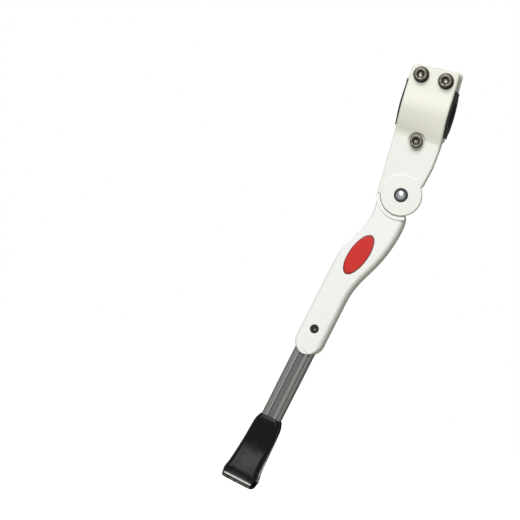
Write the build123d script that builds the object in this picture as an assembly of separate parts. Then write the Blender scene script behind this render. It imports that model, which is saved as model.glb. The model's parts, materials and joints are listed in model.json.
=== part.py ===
from build123d import *
import os
from math import cos, hypot, sin, sqrt, radians

# Frame: the stay runs along X, the viewer stands on the -Y side, Z is up, millimetres.

# Stay and clamp
stay_radius = 10.0
pad_thickness = 3.0
pad_lip_thickness = 1.0
pad_lip_half_height = 17.5
pad_lip_setback = 0.3
pad_seat_gap = 0.02
jaw_wall = 4.5
jaw_width = 36.0
jaw_corner_round = 3.2
parting_gap = 3.0
pad_parting_gap = 1.2
top_block_thickness = 13.0
neck_thickness = 7.0
rear_flange_thickness = 7.0
front_flange_height = 31.4
rear_flange_height = 32.8
flange_top_slope = 2.2
rear_jaw_drop = 33.0
rear_jaw_tail_width = 18.0
rear_jaw_shoulder_drop = 20.0
saddle_top_blend = 12.0
saddle_bottom_blend = 20.0
rear_saddle_blend = 3.0

# Clamp fasteners
bolt_radius = 3.0
bolt_hole_clearance = 0.3
bolt_head_radius = 4.9
bolt_head_height = 6.0
bolt_socket_flats = 5.0
bolt_socket_depth = 3.2
bolt_head_bevel = 0.6
bolt_overrun = 1.6
upper_bolt_spacing = 19.0
upper_bolt_height = 22.5
lower_bolt_drop = 25.7
washer_radius = 5.8
washer_thickness = 1.2
washer_spotface_clearance = 0.4
upper_spotface_depth = 0.4
lower_spotface_radius = 6.6
lower_spotface_depth = 0.9
nut_flats = 10.0
nut_thickness = 5.0
nut_pocket_depth = 4.0
nut_pocket_clearance = 0.1
nut_bevel = 0.5
thread_gap = 0.03

# Bracket neck and pivot
pivot_drop = 67.0
neck_taper_start = 2.0
neck_middle_inset = 1.3
neck_middle_drop = 42.0
neck_low_inset = 4.4
neck_low_drop = 56.0
neck_bend_round = 40.0
neck_edge_round = 1.8
disc_radius = 15.4
disc_proud = 0.9
disc_edge_round = 0.8
disc_back_depth = -4.5
knuckle_radius = 11.0
knuckle_back_depth = 3.0

# Pivot hardware
rivet_radius = 4.0
rivet_head_radius = 5.3
rivet_head_height = 2.6
rivet_tail_radius = 6.0
rivet_tail_height = 2.2
rivet_hole_gap = 0.02
bush_wall = 2.0
bush_running_gap = 0.05
wear_washer_thickness = 0.8
wear_washer_radius = 10.0
rear_washer_thickness = 1.4
rear_washer_radius = 8.5
face_gap = 0.05

# Arm, its position set by the leg's lean and its offset from the pivot
leg_lean = 10.8
leg_offset = 13.0
arm_front_depth = -6.8
arm_back_depth = 10.0
arm_half_width = 10.8
arm_end_drop = 137.5
arm_left_straight_drop = 74.0
arm_right_straight_drop = 90.0
arm_waist_left = 14.3
arm_waist_drop = 24.0
arm_shoulder_right = 11.0
arm_shoulder_drop = 28.0
arm_top_right = 9.8
arm_top_drop = 15.0
arm_root_radius = 4.0
arm_root_angle = 6.0
arm_hip_left = 21.0
arm_hip_left_drop = 48.4
arm_hip_right = 6.1
arm_hip_right_drop = 56.0
arm_round_width = 3.6
arm_round_depth = 5.2
arm_round_steps = 4
arm_back_bevel = 2.5
collar_radius = 18.6
collar_proud = 1.1
collar_start = 190.5
collar_end = 294.0
stop_gap_angle = 1.0
fold_angle = 100.0
swing_gap = 0.5
cheek_radius = 13.8

# Oval inlay
oval_length = 34.4
oval_width = 14.4
oval_drop = 53.4
oval_shift = -8.5
oval_lean = 9.3
oval_recess_depth = 0.8
oval_proud = 0.7
oval_edge_round = 0.6
oval_side_gap = 0.05

# Latch in the arm
latch_angle = 253.0
latch_travel = 0.9
plunger_radius = 3.5
plunger_length = 12.0
plunger_running_gap = 0.06
plunger_spigot_radius = 1.5
plunger_spigot_length = 4.0
latch_gap = 0.3
latch_bore_end = 48.0
spring_radius = 2.4
spring_wire_radius = 0.6
spring_turns = 4

# Leg, lengths along it measured from the pivot
leg_width = 15.4
leg_thickness = 9.5
leg_corner_round = 2.2
leg_groove_width = 6.2
leg_groove_depth = 0.8
leg_top_drop = 89.0
leg_channel_gap = 0.3
leg_channel_top_drop = 65.0
lock_screw_drop = 117.4
lock_screw_radius = 3.3
lock_screw_gap = 0.05
lock_screw_recess = 0.5
lock_screw_socket_flats = 3.0
lock_screw_socket_depth = 1.8
lock_screw_bevel = 0.5
lock_screw_point_bevel = 1.1

# Foot, its lengths measured from its own top
foot_top_drop = 190.8
foot_shoulder_length = 5.9
foot_body_length = 21.2
foot_waist_length = 35.2
foot_lip_length = 48.4
foot_sole_length = 54.5
foot_socket_length = 35.2
foot_top_width = 16.8
foot_shoulder_width = 20.9
foot_body_width = 22.5
foot_waist_width = 23.8
foot_lip_width = 27.2
foot_sole_width = 24.6
foot_top_depth = 12.5
foot_shoulder_depth = 14.0
foot_body_depth = 14.3
foot_waist_depth = 15.4
foot_lip_depth = 22.0
foot_sole_depth = 20.4
foot_lip_forward = 2.4
foot_shift = -0.5
foot_corner_round = 4.0
foot_panel_depth = 0.8
foot_panel_share = 0.64
foot_panel_end_margin = 4.0
foot_leg_gap = 0.02

# Sizes that follow from the ones above
foot_shoulder_drop = foot_top_drop + foot_shoulder_length
foot_body_drop = foot_top_drop + foot_body_length
foot_waist_drop = foot_top_drop + foot_waist_length
foot_lip_drop = foot_top_drop + foot_lip_length
foot_sole_drop = foot_top_drop + foot_sole_length
leg_socket_end_drop = foot_top_drop + foot_socket_length
jaw_bore = stay_radius + pad_thickness
saddle_radius = jaw_bore + jaw_wall
half_gap = parting_gap / 2
block_face = half_gap + top_block_thickness
neck_face = half_gap + neck_thickness
rear_face = half_gap + rear_flange_thickness
disc_front_depth = -neck_face - disc_proud
pivot_height = -pivot_drop
cheek_front_depth = knuckle_back_depth + wear_washer_thickness + 2 * face_gap
bush_bore = rivet_radius + bush_running_gap
bush_radius = bush_bore + bush_wall
arm_middle_depth = (arm_front_depth + arm_back_depth) / 2
latch_depth = (disc_back_depth + knuckle_back_depth) / 2
plunger_tip_center = knuckle_radius + latch_gap + plunger_radius
plunger_back = plunger_tip_center + plunger_length
across = (cos(radians(leg_lean)), 0, -sin(radians(leg_lean)))
down = (-sin(radians(leg_lean)), 0, -cos(radians(leg_lean)))

# Planes: drawn seen from the viewer, about the pivot, in the arm, and along the leg
pivot_plane = Plane(origin=(0, 0, pivot_height), x_dir=(1, 0, 0), z_dir=(0, -1, 0))
arm_plane = Plane(origin=(0, 0, pivot_height), x_dir=across, z_dir=(0, -1, 0))
leg_origin = arm_plane.from_local_coords((-leg_offset, 0, -arm_middle_depth))
leg_plane = Plane(origin=leg_origin, x_dir=across, z_dir=down)
latch_direction = (cos(radians(latch_angle)), 0, sin(radians(latch_angle)))
latch_plane = Plane(origin=(0, latch_depth, pivot_height), x_dir=(0, 1, 0), z_dir=latch_direction)


def slab(sketch, front, back, plane=Plane.XZ):
    """Solid of a sketch seen from the viewer, between two depths."""
    return extrude(plane.offset(-back) * sketch, amount=back - front)


def rod(radius, front, back, x=0.0, z=0.0):
    """Cylinder towards the viewer, centred on x and z."""
    return slab(Pos(x, z) * Circle(radius), front, back)


def ring(outer, inner, front, back, x=0.0, z=0.0):
    """Washer-shaped solid between two depths."""
    return rod(outer, front, back, x, z) - rod(inner, front, back, x, z)


def sector(inner, outer, start, end):
    """Piece of a ring about the origin between two angles."""
    rim = CenterArc((0, 0), outer, start, end - start)
    root = CenterArc((0, 0), inner, start, end - start)
    first_side = Line(root @ 0, rim @ 0)
    last_side = Line(root @ 1, rim @ 1)
    return make_face(Curve() + [rim, root, first_side, last_side])


def box_between(x_low, x_high, z_low, z_high):
    """Rectangle given by its four sides."""
    middle = Pos((x_low + x_high) / 2, (z_low + z_high) / 2)
    return middle * Rectangle(x_high - x_low, z_high - z_low)


def blend_height(face, radius):
    """Distance from the stay's axis to where the saddle's round runs out on a flange face."""
    return sqrt((saddle_radius + radius) ** 2 - (face + radius) ** 2)


def saddle_blend(face, radius, side):
    """Concave round between the saddle and a flange face, above (1) or below (-1)."""
    reach = face + radius
    height = side * blend_height(face, radius)
    corner = make_face(Polyline((0, 0), (-reach, height), (0, height), close=True))
    return corner - Pos(-reach, height) * Circle(radius)


def jaw_solid(profile, width):
    """Jaw of one cross-section along the stay."""
    return extrude(Plane.YZ.offset(-width / 2) * profile, amount=width)


def socket_bolt(x, z, seat, shank_length):
    """Socket-head bolt whose head stands on the seat depth."""
    head = Cylinder(bolt_head_radius, bolt_head_height, align=(Align.CENTER, Align.CENTER, Align.MIN))
    head = chamfer(head.edges().sort_by(Axis.Z)[-1], bolt_head_bevel)
    shank = Cylinder(bolt_radius, shank_length, align=(Align.CENTER, Align.CENTER, Align.MAX))
    shank = chamfer(shank.edges().sort_by(Axis.Z)[0], bolt_head_bevel)
    socket = RegularPolygon(bolt_socket_flats / 2, 6, major_radius=False)
    socket = Pos(0, 0, bolt_head_height) * extrude(socket, amount=-bolt_socket_depth)
    seat_plane = Plane(origin=(x, seat, z), x_dir=(1, 0, 0), z_dir=(0, -1, 0))
    return seat_plane * (head + shank - socket)


def clamp_nut(x, z, seat):
    """Hex nut with its front face on the seat depth."""
    hexagon = Pos(x, z) * RegularPolygon(nut_flats / 2, 6, major_radius=False)
    nut = slab(hexagon, seat, seat + nut_thickness)
    nut = chamfer(nut.faces().sort_by(Axis.Y)[-1].edges(), nut_bevel)
    return nut - rod(bolt_radius + thread_gap, seat, seat + nut_thickness, x, z)


def nut_pocket(x, z, floor):
    """Hex pocket for a nut, open to the back."""
    hexagon = Pos(x, z) * RegularPolygon(nut_flats / 2 + nut_pocket_clearance, 6, major_radius=False)
    return slab(hexagon, floor, floor + saddle_radius)


def clamp_pad(side, jaw_outline):
    """Rubber pad on the viewer's side (-1) or behind the stay (1), with lips over the jaw's ends."""
    length = jaw_width + 2 * pad_seat_gap
    sleeve = Circle(jaw_bore - pad_seat_gap) - Circle(stay_radius)
    lip = Pos(-side * pad_lip_setback, 0) * jaw_outline
    lip = (lip & Rectangle(4 * saddle_radius, 2 * pad_lip_half_height)) - Circle(stay_radius)
    pad = jaw_solid(sleeve, length + 2 * pad_lip_thickness)
    near_lip = extrude(Plane.YZ.offset(length / 2) * lip, amount=pad_lip_thickness)
    far_lip = extrude(Plane.YZ.offset(-length / 2) * lip, amount=-pad_lip_thickness)
    reach = 2 * saddle_radius
    half = Pos(side * (reach + pad_parting_gap) / 2, 0) * Rectangle(reach, 2 * reach)
    return (pad + near_lip + far_lip) & jaw_solid(half, length + 4 * pad_lip_thickness)


def rounded(width, depth, radius, x=0.0, y=0.0):
    """Rounded rectangle for a cross-section of the leg or the foot."""
    return Pos(x, y) * RectangleRounded(width, depth, radius)


half_spacing = upper_bolt_spacing / 2
upper_bolt_places = [(-half_spacing, upper_bolt_height), (half_spacing, upper_bolt_height)]
lower_bolt_place = (0.0, -lower_bolt_drop)
bolt_places = upper_bolt_places + [lower_bolt_place]
bolt_hole_radius = bolt_radius + bolt_hole_clearance

# Clamp bracket: saddle, flange and neck share one cross-section, trimmed to the outline
front_side = Circle(saddle_radius)
front_side += saddle_blend(block_face, saddle_top_blend, 1)
front_side += saddle_blend(neck_face, saddle_bottom_blend, -1)
front_side += box_between(-block_face, 0, 0, front_flange_height)
front_side += box_between(-neck_face, 0, -pivot_drop - disc_radius, 0)
bracket_profile = front_side - Circle(jaw_bore)
bracket_profile -= box_between(-half_gap, 2 * saddle_radius, -2 * pivot_drop, 2 * pivot_drop)
bracket_block = jaw_solid(bracket_profile, jaw_width)
half_width = jaw_width / 2
neck_low = pivot_height - disc_radius / 2
taper_top = -blend_height(neck_face, saddle_bottom_blend) - neck_taper_start
taper_bend = (half_width - neck_middle_inset, -neck_middle_drop)
outline_points = [
    (-half_width, front_flange_height - flange_top_slope),
    (half_width, front_flange_height),
    (half_width, taper_top),
    taper_bend,
    (half_width - neck_low_inset, -neck_low_drop),
    (0, neck_low),
    (-half_width, neck_low),
]
bracket_outline = make_face(Polyline(*outline_points, close=True))
outline_top = bracket_outline.vertices().sort_by(Axis.Y)[-2:]
bracket_outline = fillet(outline_top, jaw_corner_round)
taper_corner = bracket_outline.vertices().sort_by_distance(taper_bend)[0]
bracket_outline = fillet(taper_corner, neck_bend_round)
clamp_bracket = bracket_block & slab(bracket_outline, -2 * saddle_radius, 2 * saddle_radius)
side_edges = clamp_bracket.faces().filter_by(lambda face: abs(face.normal_at().X) > 0.9).edges()
front_rims = []
for edge in side_edges:
    middle = edge @ 0.5
    outside_bore = hypot(middle.Y, middle.Z) > jaw_bore + 0.5
    if middle.Y < -neck_face + 0.5 and middle.Z > neck_low + 1 and outside_bore:
        front_rims.append(edge)
clamp_bracket = fillet(front_rims, neck_edge_round)

# Room for the arm's collar over its whole swing, then the disc and the notched knuckle
stop_start = collar_start - stop_gap_angle
stop_end = collar_end + fold_angle + stop_gap_angle
collar_room = sector(disc_radius - swing_gap, 3 * disc_radius, stop_start, stop_end)
clamp_bracket -= slab(collar_room, disc_front_depth, 0, pivot_plane)
shoulder_room = sector(knuckle_radius - swing_gap, 3 * disc_radius, stop_start, stop_end)
clamp_bracket -= slab(shoulder_room, disc_back_depth, 0, pivot_plane)
pivot_disc = rod(disc_radius, disc_front_depth, disc_back_depth, 0, pivot_height)
disc_front_edge = pivot_disc.edges().filter_by(GeomType.CIRCLE).sort_by(Axis.Y)[0]
pivot_disc = fillet(disc_front_edge, disc_edge_round)
knuckle = rod(knuckle_radius, disc_back_depth, knuckle_back_depth, 0, pivot_height)
stop_block = sector(knuckle_radius / 2, disc_radius - swing_gap, stop_end - 360, stop_start)
knuckle += slab(stop_block, disc_back_depth, knuckle_back_depth, pivot_plane)
notch_center = plunger_tip_center - latch_travel + latch_gap
notch_radius = plunger_radius + 2 * latch_gap
for notch_angle in (latch_angle, latch_angle + fold_angle):
    notch_x = notch_center * cos(radians(notch_angle))
    notch_z = pivot_height + notch_center * sin(radians(notch_angle))
    knuckle -= rod(notch_radius, disc_back_depth, knuckle_back_depth, notch_x, notch_z)
clamp_bracket += pivot_disc
clamp_bracket += knuckle
clamp_bracket -= rod(rivet_radius + rivet_hole_gap, disc_front_depth, knuckle_back_depth, 0, pivot_height)
for bolt_x, bolt_z in bolt_places:
    clamp_bracket -= rod(bolt_hole_radius, -2 * saddle_radius, 0, bolt_x, bolt_z)
upper_washer_seat = -block_face + upper_spotface_depth
spotface_radius = washer_radius + washer_spotface_clearance
for bolt_x, bolt_z in upper_bolt_places:
    clamp_bracket -= rod(spotface_radius, -2 * saddle_radius, upper_washer_seat, bolt_x, bolt_z)
lower_seat = -neck_face + lower_spotface_depth
clamp_bracket -= rod(lower_spotface_radius, -2 * saddle_radius, lower_seat, *lower_bolt_place)

# Rear jaw: the same saddle behind the stay, with pockets for the nuts
rear_side = Circle(saddle_radius)
rear_side += mirror(saddle_blend(rear_face, rear_saddle_blend, 1), about=Plane.YZ)
rear_side += mirror(saddle_blend(rear_face, rear_saddle_blend, -1), about=Plane.YZ)
rear_side += box_between(0, rear_face, -rear_jaw_drop, rear_flange_height)
rear_profile = rear_side - Circle(jaw_bore)
rear_profile -= box_between(-2 * saddle_radius, half_gap, -2 * pivot_drop, 2 * pivot_drop)
rear_points = [
    (-half_width, rear_flange_height - flange_top_slope),
    (half_width, rear_flange_height),
    (half_width, -rear_jaw_shoulder_drop),
    (rear_jaw_tail_width / 2, -rear_jaw_drop),
    (-rear_jaw_tail_width / 2, -rear_jaw_drop),
    (-half_width, -rear_jaw_shoulder_drop),
]
rear_outline = make_face(Polyline(*rear_points, close=True))
rear_outline = fillet(rear_outline.vertices(), jaw_corner_round)
rear_clamp_jaw = jaw_solid(rear_profile, jaw_width)
rear_clamp_jaw = rear_clamp_jaw & slab(rear_outline, -2 * saddle_radius, 2 * saddle_radius)
nut_seat = rear_face - nut_pocket_depth
for bolt_x, bolt_z in bolt_places:
    rear_clamp_jaw -= rod(bolt_hole_radius, 0, 2 * saddle_radius, bolt_x, bolt_z)
    rear_clamp_jaw -= nut_pocket(bolt_x, bolt_z, nut_seat)

# Pads and clamp fasteners
front_clamp_pad = clamp_pad(-1, front_side)
rear_clamp_pad = clamp_pad(1, rear_side)
bolt_end = nut_seat + nut_thickness + bolt_overrun
upper_seat = upper_washer_seat - washer_thickness
upper_clamp_bolts = []
clamp_bolt_washers = []
for bolt_x, bolt_z in upper_bolt_places:
    upper_clamp_bolts.append(socket_bolt(bolt_x, bolt_z, upper_seat, bolt_end - upper_seat))
    washer = ring(washer_radius, bolt_hole_radius, upper_seat, upper_washer_seat, bolt_x, bolt_z)
    clamp_bolt_washers.append(washer)
lower_clamp_bolt = socket_bolt(*lower_bolt_place, lower_seat, bolt_end - lower_seat)
clamp_nuts = [clamp_nut(bolt_x, bolt_z, nut_seat) for bolt_x, bolt_z in bolt_places]

# Arm, drawn about the pivot with the leg's direction as its upright
def around_pivot(radius, angle):
    """Point of the arm drawing at a distance and an upright angle from the pivot."""
    turned = radians(angle + leg_lean)
    return (radius * cos(turned), radius * sin(turned))


def arm_face(inset):
    """Arm outline with its two sides drawn in; the pivot end and the tip of the arch stay."""
    half = arm_half_width - inset
    left_edge = -leg_offset - half
    right_edge = -leg_offset + half
    arch_top = half - arm_end_drop
    left_root = around_pivot(arm_root_radius, collar_start - arm_root_angle)
    right_root = around_pivot(arm_root_radius, collar_end + arm_root_angle)
    left_tip = around_pivot(collar_radius - swing_gap, collar_start - arm_root_angle)
    left_points = [
        left_tip,
        (inset - arm_waist_left, -arm_waist_drop),
        (inset - arm_hip_left, -arm_hip_left_drop),
        (left_edge, -arm_left_straight_drop),
    ]
    right_points = [
        (right_edge, -arm_right_straight_drop),
        (arm_hip_right - inset, -arm_hip_right_drop),
        (arm_shoulder_right - inset, -arm_shoulder_drop),
        (arm_top_right - inset, -arm_top_drop),
    ]
    left_curve = Spline(*left_points, tangents=[(0.4, -1), (0, -1)])
    left_line = Line(left_curve @ 1, (left_edge, arch_top))
    arch = ThreePointArc(left_line @ 1, (-leg_offset, -arm_end_drop), (right_edge, arch_top))
    right_line = Line(arch @ 1, (right_edge, -arm_right_straight_drop))
    right_curve = Spline(*right_points, tangents=[(0, 1), (-0.4, 1)])
    top_lines = Polyline(right_curve @ 1, right_root, left_root, left_tip)
    return make_face(Curve() + [left_curve, left_line, arch, right_line, right_curve, top_lines])


def arm_layer(depth, inset):
    """Arm outline placed at one depth."""
    return arm_plane.offset(-depth) * arm_face(inset)


def arm_round_layer(step):
    """Arm outline at one step of the round between its sides (0) and its front face."""
    turn = radians(90 * step / arm_round_steps)
    depth = arm_front_depth + arm_round_depth * (1 - sin(turn))
    return arm_layer(depth, arm_round_width * (1 - cos(turn)))


round_start = arm_front_depth + arm_round_depth
back_bevel_start = arm_back_depth - arm_back_bevel
arm = slab(arm_face(0), round_start, back_bevel_start, arm_plane)
for step in range(arm_round_steps):
    arm += loft([arm_round_layer(step), arm_round_layer(step + 1)], ruled=True)
arm += loft([arm_layer(back_bevel_start, 0), arm_layer(arm_back_depth, arm_back_bevel)], ruled=True)

# Raised collar and the cheek behind the knuckle, then room for the disc, the knuckle and the stops
collar_margin = arm_root_angle / 2
collar = sector(knuckle_radius, collar_radius, collar_start - collar_margin, collar_end + collar_margin)
arm += slab(collar, arm_front_depth - collar_proud, cheek_front_depth, pivot_plane)
cheek = slab(Circle(cheek_radius), disc_back_depth, arm_back_depth - swing_gap, pivot_plane)
cheek_back_edge = cheek.edges().filter_by(GeomType.CIRCLE).sort_by(Axis.Y)[-1]
arm += fillet(cheek_back_edge, arm_back_bevel)
front_clear = 2 * disc_front_depth
stop_room = sector(1, 2 * collar_radius, collar_end, collar_start + 360)
arm -= slab(stop_room, front_clear, cheek_front_depth, pivot_plane)
arm -= rod(disc_radius + swing_gap, front_clear, disc_back_depth + swing_gap, 0, pivot_height)
arm -= rod(knuckle_radius + swing_gap, front_clear, cheek_front_depth, 0, pivot_height)
arm -= rod(bush_radius, disc_back_depth, 2 * arm_back_depth, 0, pivot_height)

# Oval recess and its inlay
oval_place = Pos(oval_shift, -oval_drop) * Rot(0, 0, -oval_lean)
oval_floor = arm_front_depth + oval_recess_depth
oval_recess = oval_place * Ellipse(oval_width / 2, oval_length / 2)
arm -= slab(oval_recess, 2 * arm_front_depth, oval_floor, arm_plane)
inlay_face = oval_place * Ellipse(oval_width / 2 - oval_side_gap, oval_length / 2 - oval_side_gap)
oval_inlay = slab(inlay_face, arm_front_depth - oval_proud, oval_floor, arm_plane)
oval_inlay = fillet(oval_inlay.faces().sort_by(Axis.Y)[0].edges(), oval_edge_round)

# Latch bore, plunger and spring
bottom_align = (Align.CENTER, Align.CENTER, Align.MIN)
latch_bore_radius = plunger_radius + plunger_running_gap
latch_bore = Cylinder(latch_bore_radius, latch_bore_end - bush_radius, align=bottom_align)
arm -= latch_plane * Pos(0, 0, bush_radius) * latch_bore
spigot_end = plunger_back + plunger_spigot_length
plunger_nose = CenterArc((0, plunger_tip_center), plunger_radius, -90, 90)
plunger_side = Polyline(
    plunger_nose @ 1,
    (plunger_radius, plunger_back),
    (plunger_spigot_radius, plunger_back),
    (plunger_spigot_radius, spigot_end),
    (0, spigot_end),
    plunger_nose @ 0,
)
plunger_profile = make_face(Curve() + [plunger_nose, plunger_side])
latch_plunger = latch_plane * revolve(Plane.XZ * plunger_profile, Axis.Z)
spring_space = latch_bore_end - plunger_back
spring_height = spring_space - 2 * spring_wire_radius - 2 * face_gap
spring_path = Helix(spring_height / spring_turns, spring_height, spring_radius)
spring_section = Plane(origin=spring_path @ 0, z_dir=spring_path % 0) * Circle(spring_wire_radius)
latch_spring = sweep(spring_section, path=spring_path)
latch_spring = latch_plane * Pos(0, 0, plunger_back + spring_wire_radius + face_gap) * latch_spring

# Leg, its channel in the arm and the lock screw
leg_section = RectangleRounded(leg_width, leg_thickness, leg_corner_round)
groove_shift = leg_thickness / 2
leg_groove = Pos(0, groove_shift) * Rectangle(leg_groove_width, 2 * leg_groove_depth)
leg_groove += Pos(0, -groove_shift) * Rectangle(leg_groove_width, 2 * leg_groove_depth)
leg_profile = leg_section - leg_groove
leg = leg_plane.offset(leg_top_drop) * extrude(leg_profile, amount=leg_socket_end_drop - leg_top_drop)
channel_width = leg_width + 2 * leg_channel_gap
channel_thickness = leg_thickness + 2 * leg_channel_gap
channel_section = RectangleRounded(channel_width, channel_thickness, leg_corner_round)
channel_length = arm_end_drop + arm_half_width - leg_channel_top_drop
arm -= leg_plane.offset(leg_channel_top_drop) * extrude(channel_section, amount=channel_length)
screw_plane = Plane(arm_plane.from_local_coords((-leg_offset, -lock_screw_drop, 0)), across, (0, -1, 0))
arm -= slab(Circle(lock_screw_radius + lock_screw_gap), 2 * arm_front_depth, arm_middle_depth, screw_plane)
screw_head = arm_front_depth + lock_screw_recess
leg_front = arm_middle_depth - leg_thickness / 2 + leg_groove_depth
leg_lock_screw = slab(Circle(lock_screw_radius), screw_head, leg_front - leg_channel_gap, screw_plane)
screw_rims = leg_lock_screw.edges().filter_by(GeomType.CIRCLE).sort_by(Axis.Y)
leg_lock_screw = chamfer(screw_rims[-1], lock_screw_point_bevel)
screw_rims = leg_lock_screw.edges().filter_by(GeomType.CIRCLE).sort_by(Axis.Y)
leg_lock_screw = chamfer(screw_rims[0], lock_screw_bevel)
lock_socket = RegularPolygon(lock_screw_socket_flats / 2, 6, major_radius=False)
leg_lock_screw -= slab(lock_socket, screw_head, screw_head + lock_screw_socket_depth, screw_plane)

# Pivot bush, washers and rivet
pivot_bush = ring(bush_radius, bush_bore, cheek_front_depth, arm_back_depth, 0, pivot_height)
wear_washer_front = knuckle_back_depth + face_gap
wear_washer_back = wear_washer_front + wear_washer_thickness
pivot_bore = rivet_radius + rivet_hole_gap
wear_washer_hole = (pivot_bore, wear_washer_front, wear_washer_back, 0, pivot_height)
pivot_wear_washer = ring(wear_washer_radius, *wear_washer_hole)
rear_washer_front = arm_back_depth + face_gap
rear_washer_back = rear_washer_front + rear_washer_thickness
rear_washer_hole = (pivot_bore, rear_washer_front, rear_washer_back, 0, pivot_height)
rivet_rear_washer = ring(rear_washer_radius, *rear_washer_hole)
dome_radius = (rivet_head_radius**2 + rivet_head_height**2) / (2 * rivet_head_height)
dome_center = dome_radius - rivet_head_height
head_plane = Plane(origin=(0, disc_front_depth, pivot_height), x_dir=(1, 0, 0), z_dir=(0, -1, 0))
dome_room = Cylinder(2 * dome_radius, 2 * dome_radius, align=bottom_align)
pivot_rivet = head_plane * (Pos(0, 0, -dome_center) * Sphere(dome_radius) & dome_room)
pivot_rivet += rod(rivet_radius, disc_front_depth, rear_washer_back, 0, pivot_height)
rivet_tail = rod(rivet_tail_radius, rear_washer_back, rear_washer_back + rivet_tail_height, 0, pivot_height)
tail_edge = rivet_tail.edges().filter_by(GeomType.CIRCLE).sort_by(Axis.Y)[-1]
pivot_rivet += fillet(tail_edge, rivet_tail_height / 2)

# Foot: a flared shell around the leg's end with a dished panel in front
foot_top = rounded(foot_top_width, foot_top_depth, foot_corner_round)
foot_shoulder = rounded(foot_shoulder_width, foot_shoulder_depth, foot_corner_round)
foot_body = rounded(foot_body_width, foot_body_depth, foot_corner_round, foot_shift / 2)
foot_waist = rounded(foot_waist_width, foot_waist_depth, foot_corner_round, foot_shift / 2)
foot_lip = rounded(foot_lip_width, foot_lip_depth, foot_corner_round, foot_shift, foot_lip_forward)
foot_sole = rounded(foot_sole_width, foot_sole_depth, foot_corner_round, foot_shift, foot_lip_forward)
top_layer = leg_plane.offset(foot_top_drop) * foot_top
shoulder_layer = leg_plane.offset(foot_shoulder_drop) * foot_shoulder
body_layer = leg_plane.offset(foot_body_drop) * foot_body
waist_layer = leg_plane.offset(foot_waist_drop) * foot_waist
lip_layer = leg_plane.offset(foot_lip_drop) * foot_lip
sole_layer = leg_plane.offset(foot_sole_drop) * foot_sole
foot = loft([top_layer, shoulder_layer])
foot += loft([shoulder_layer, body_layer, waist_layer, lip_layer])
foot += loft([lip_layer, sole_layer])
socket_width = leg_width + 2 * foot_leg_gap
socket_depth = leg_thickness + 2 * foot_leg_gap
socket_section = RectangleRounded(socket_width, socket_depth, leg_corner_round)
foot -= leg_plane.offset(foot_top_drop) * extrude(socket_section, amount=leg_socket_end_drop - foot_top_drop)


def panel_section(drop, width, depth, shift, forward):
    """Cross-section of the space in front of the dished panel."""
    floor = forward + depth / 2 - foot_panel_depth
    opening = Rectangle(foot_panel_share * width, foot_lip_depth)
    opening = Pos(shift, floor + foot_lip_depth / 2) * opening
    return leg_plane.offset(drop) * opening


panel_sections = [
    panel_section(foot_shoulder_drop, foot_shoulder_width, foot_shoulder_depth, 0, 0),
    panel_section(foot_body_drop, foot_body_width, foot_body_depth, foot_shift / 2, 0),
    panel_section(foot_waist_drop, foot_waist_width, foot_waist_depth, foot_shift / 2, 0),
    panel_section(foot_lip_drop, foot_lip_width, foot_lip_depth, foot_shift, foot_lip_forward),
]
panel_start = foot_shoulder_drop + foot_panel_end_margin
panel_length = foot_lip_drop - foot_panel_end_margin - panel_start
panel_limit = extrude(Rectangle(2 * foot_lip_width, 4 * foot_lip_depth), amount=panel_length)
foot -= loft(panel_sections) & (leg_plane.offset(panel_start) * panel_limit)

# One file for each piece
pieces = {
    "clamp_bracket": clamp_bracket,
    "rear_clamp_jaw": rear_clamp_jaw,
    "front_clamp_pad": front_clamp_pad,
    "rear_clamp_pad": rear_clamp_pad,
    "upper_clamp_bolts": Compound(upper_clamp_bolts),
    "lower_clamp_bolt": lower_clamp_bolt,
    "clamp_bolt_washers": Compound(clamp_bolt_washers),
    "clamp_nuts": Compound(clamp_nuts),
    "pivot_rivet": pivot_rivet,
    "pivot_bush": pivot_bush,
    "pivot_wear_washer": pivot_wear_washer,
    "rivet_rear_washer": rivet_rear_washer,
    "arm": arm,
    "latch_plunger": latch_plunger,
    "latch_spring": latch_spring,
    "oval_inlay": oval_inlay,
    "leg": leg,
    "leg_lock_screw": leg_lock_screw,
    "foot": foot,
}
os.makedirs("parts", exist_ok=True)
for name, piece in pieces.items():
    export_step(piece, f"parts/{name}.step")
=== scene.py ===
"""Finishes for a clamp-on bicycle kickstand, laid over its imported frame."""

import json
import math

import bpy
from mathutils import Matrix, Vector
from mathutils.kdtree import KDTree

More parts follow.
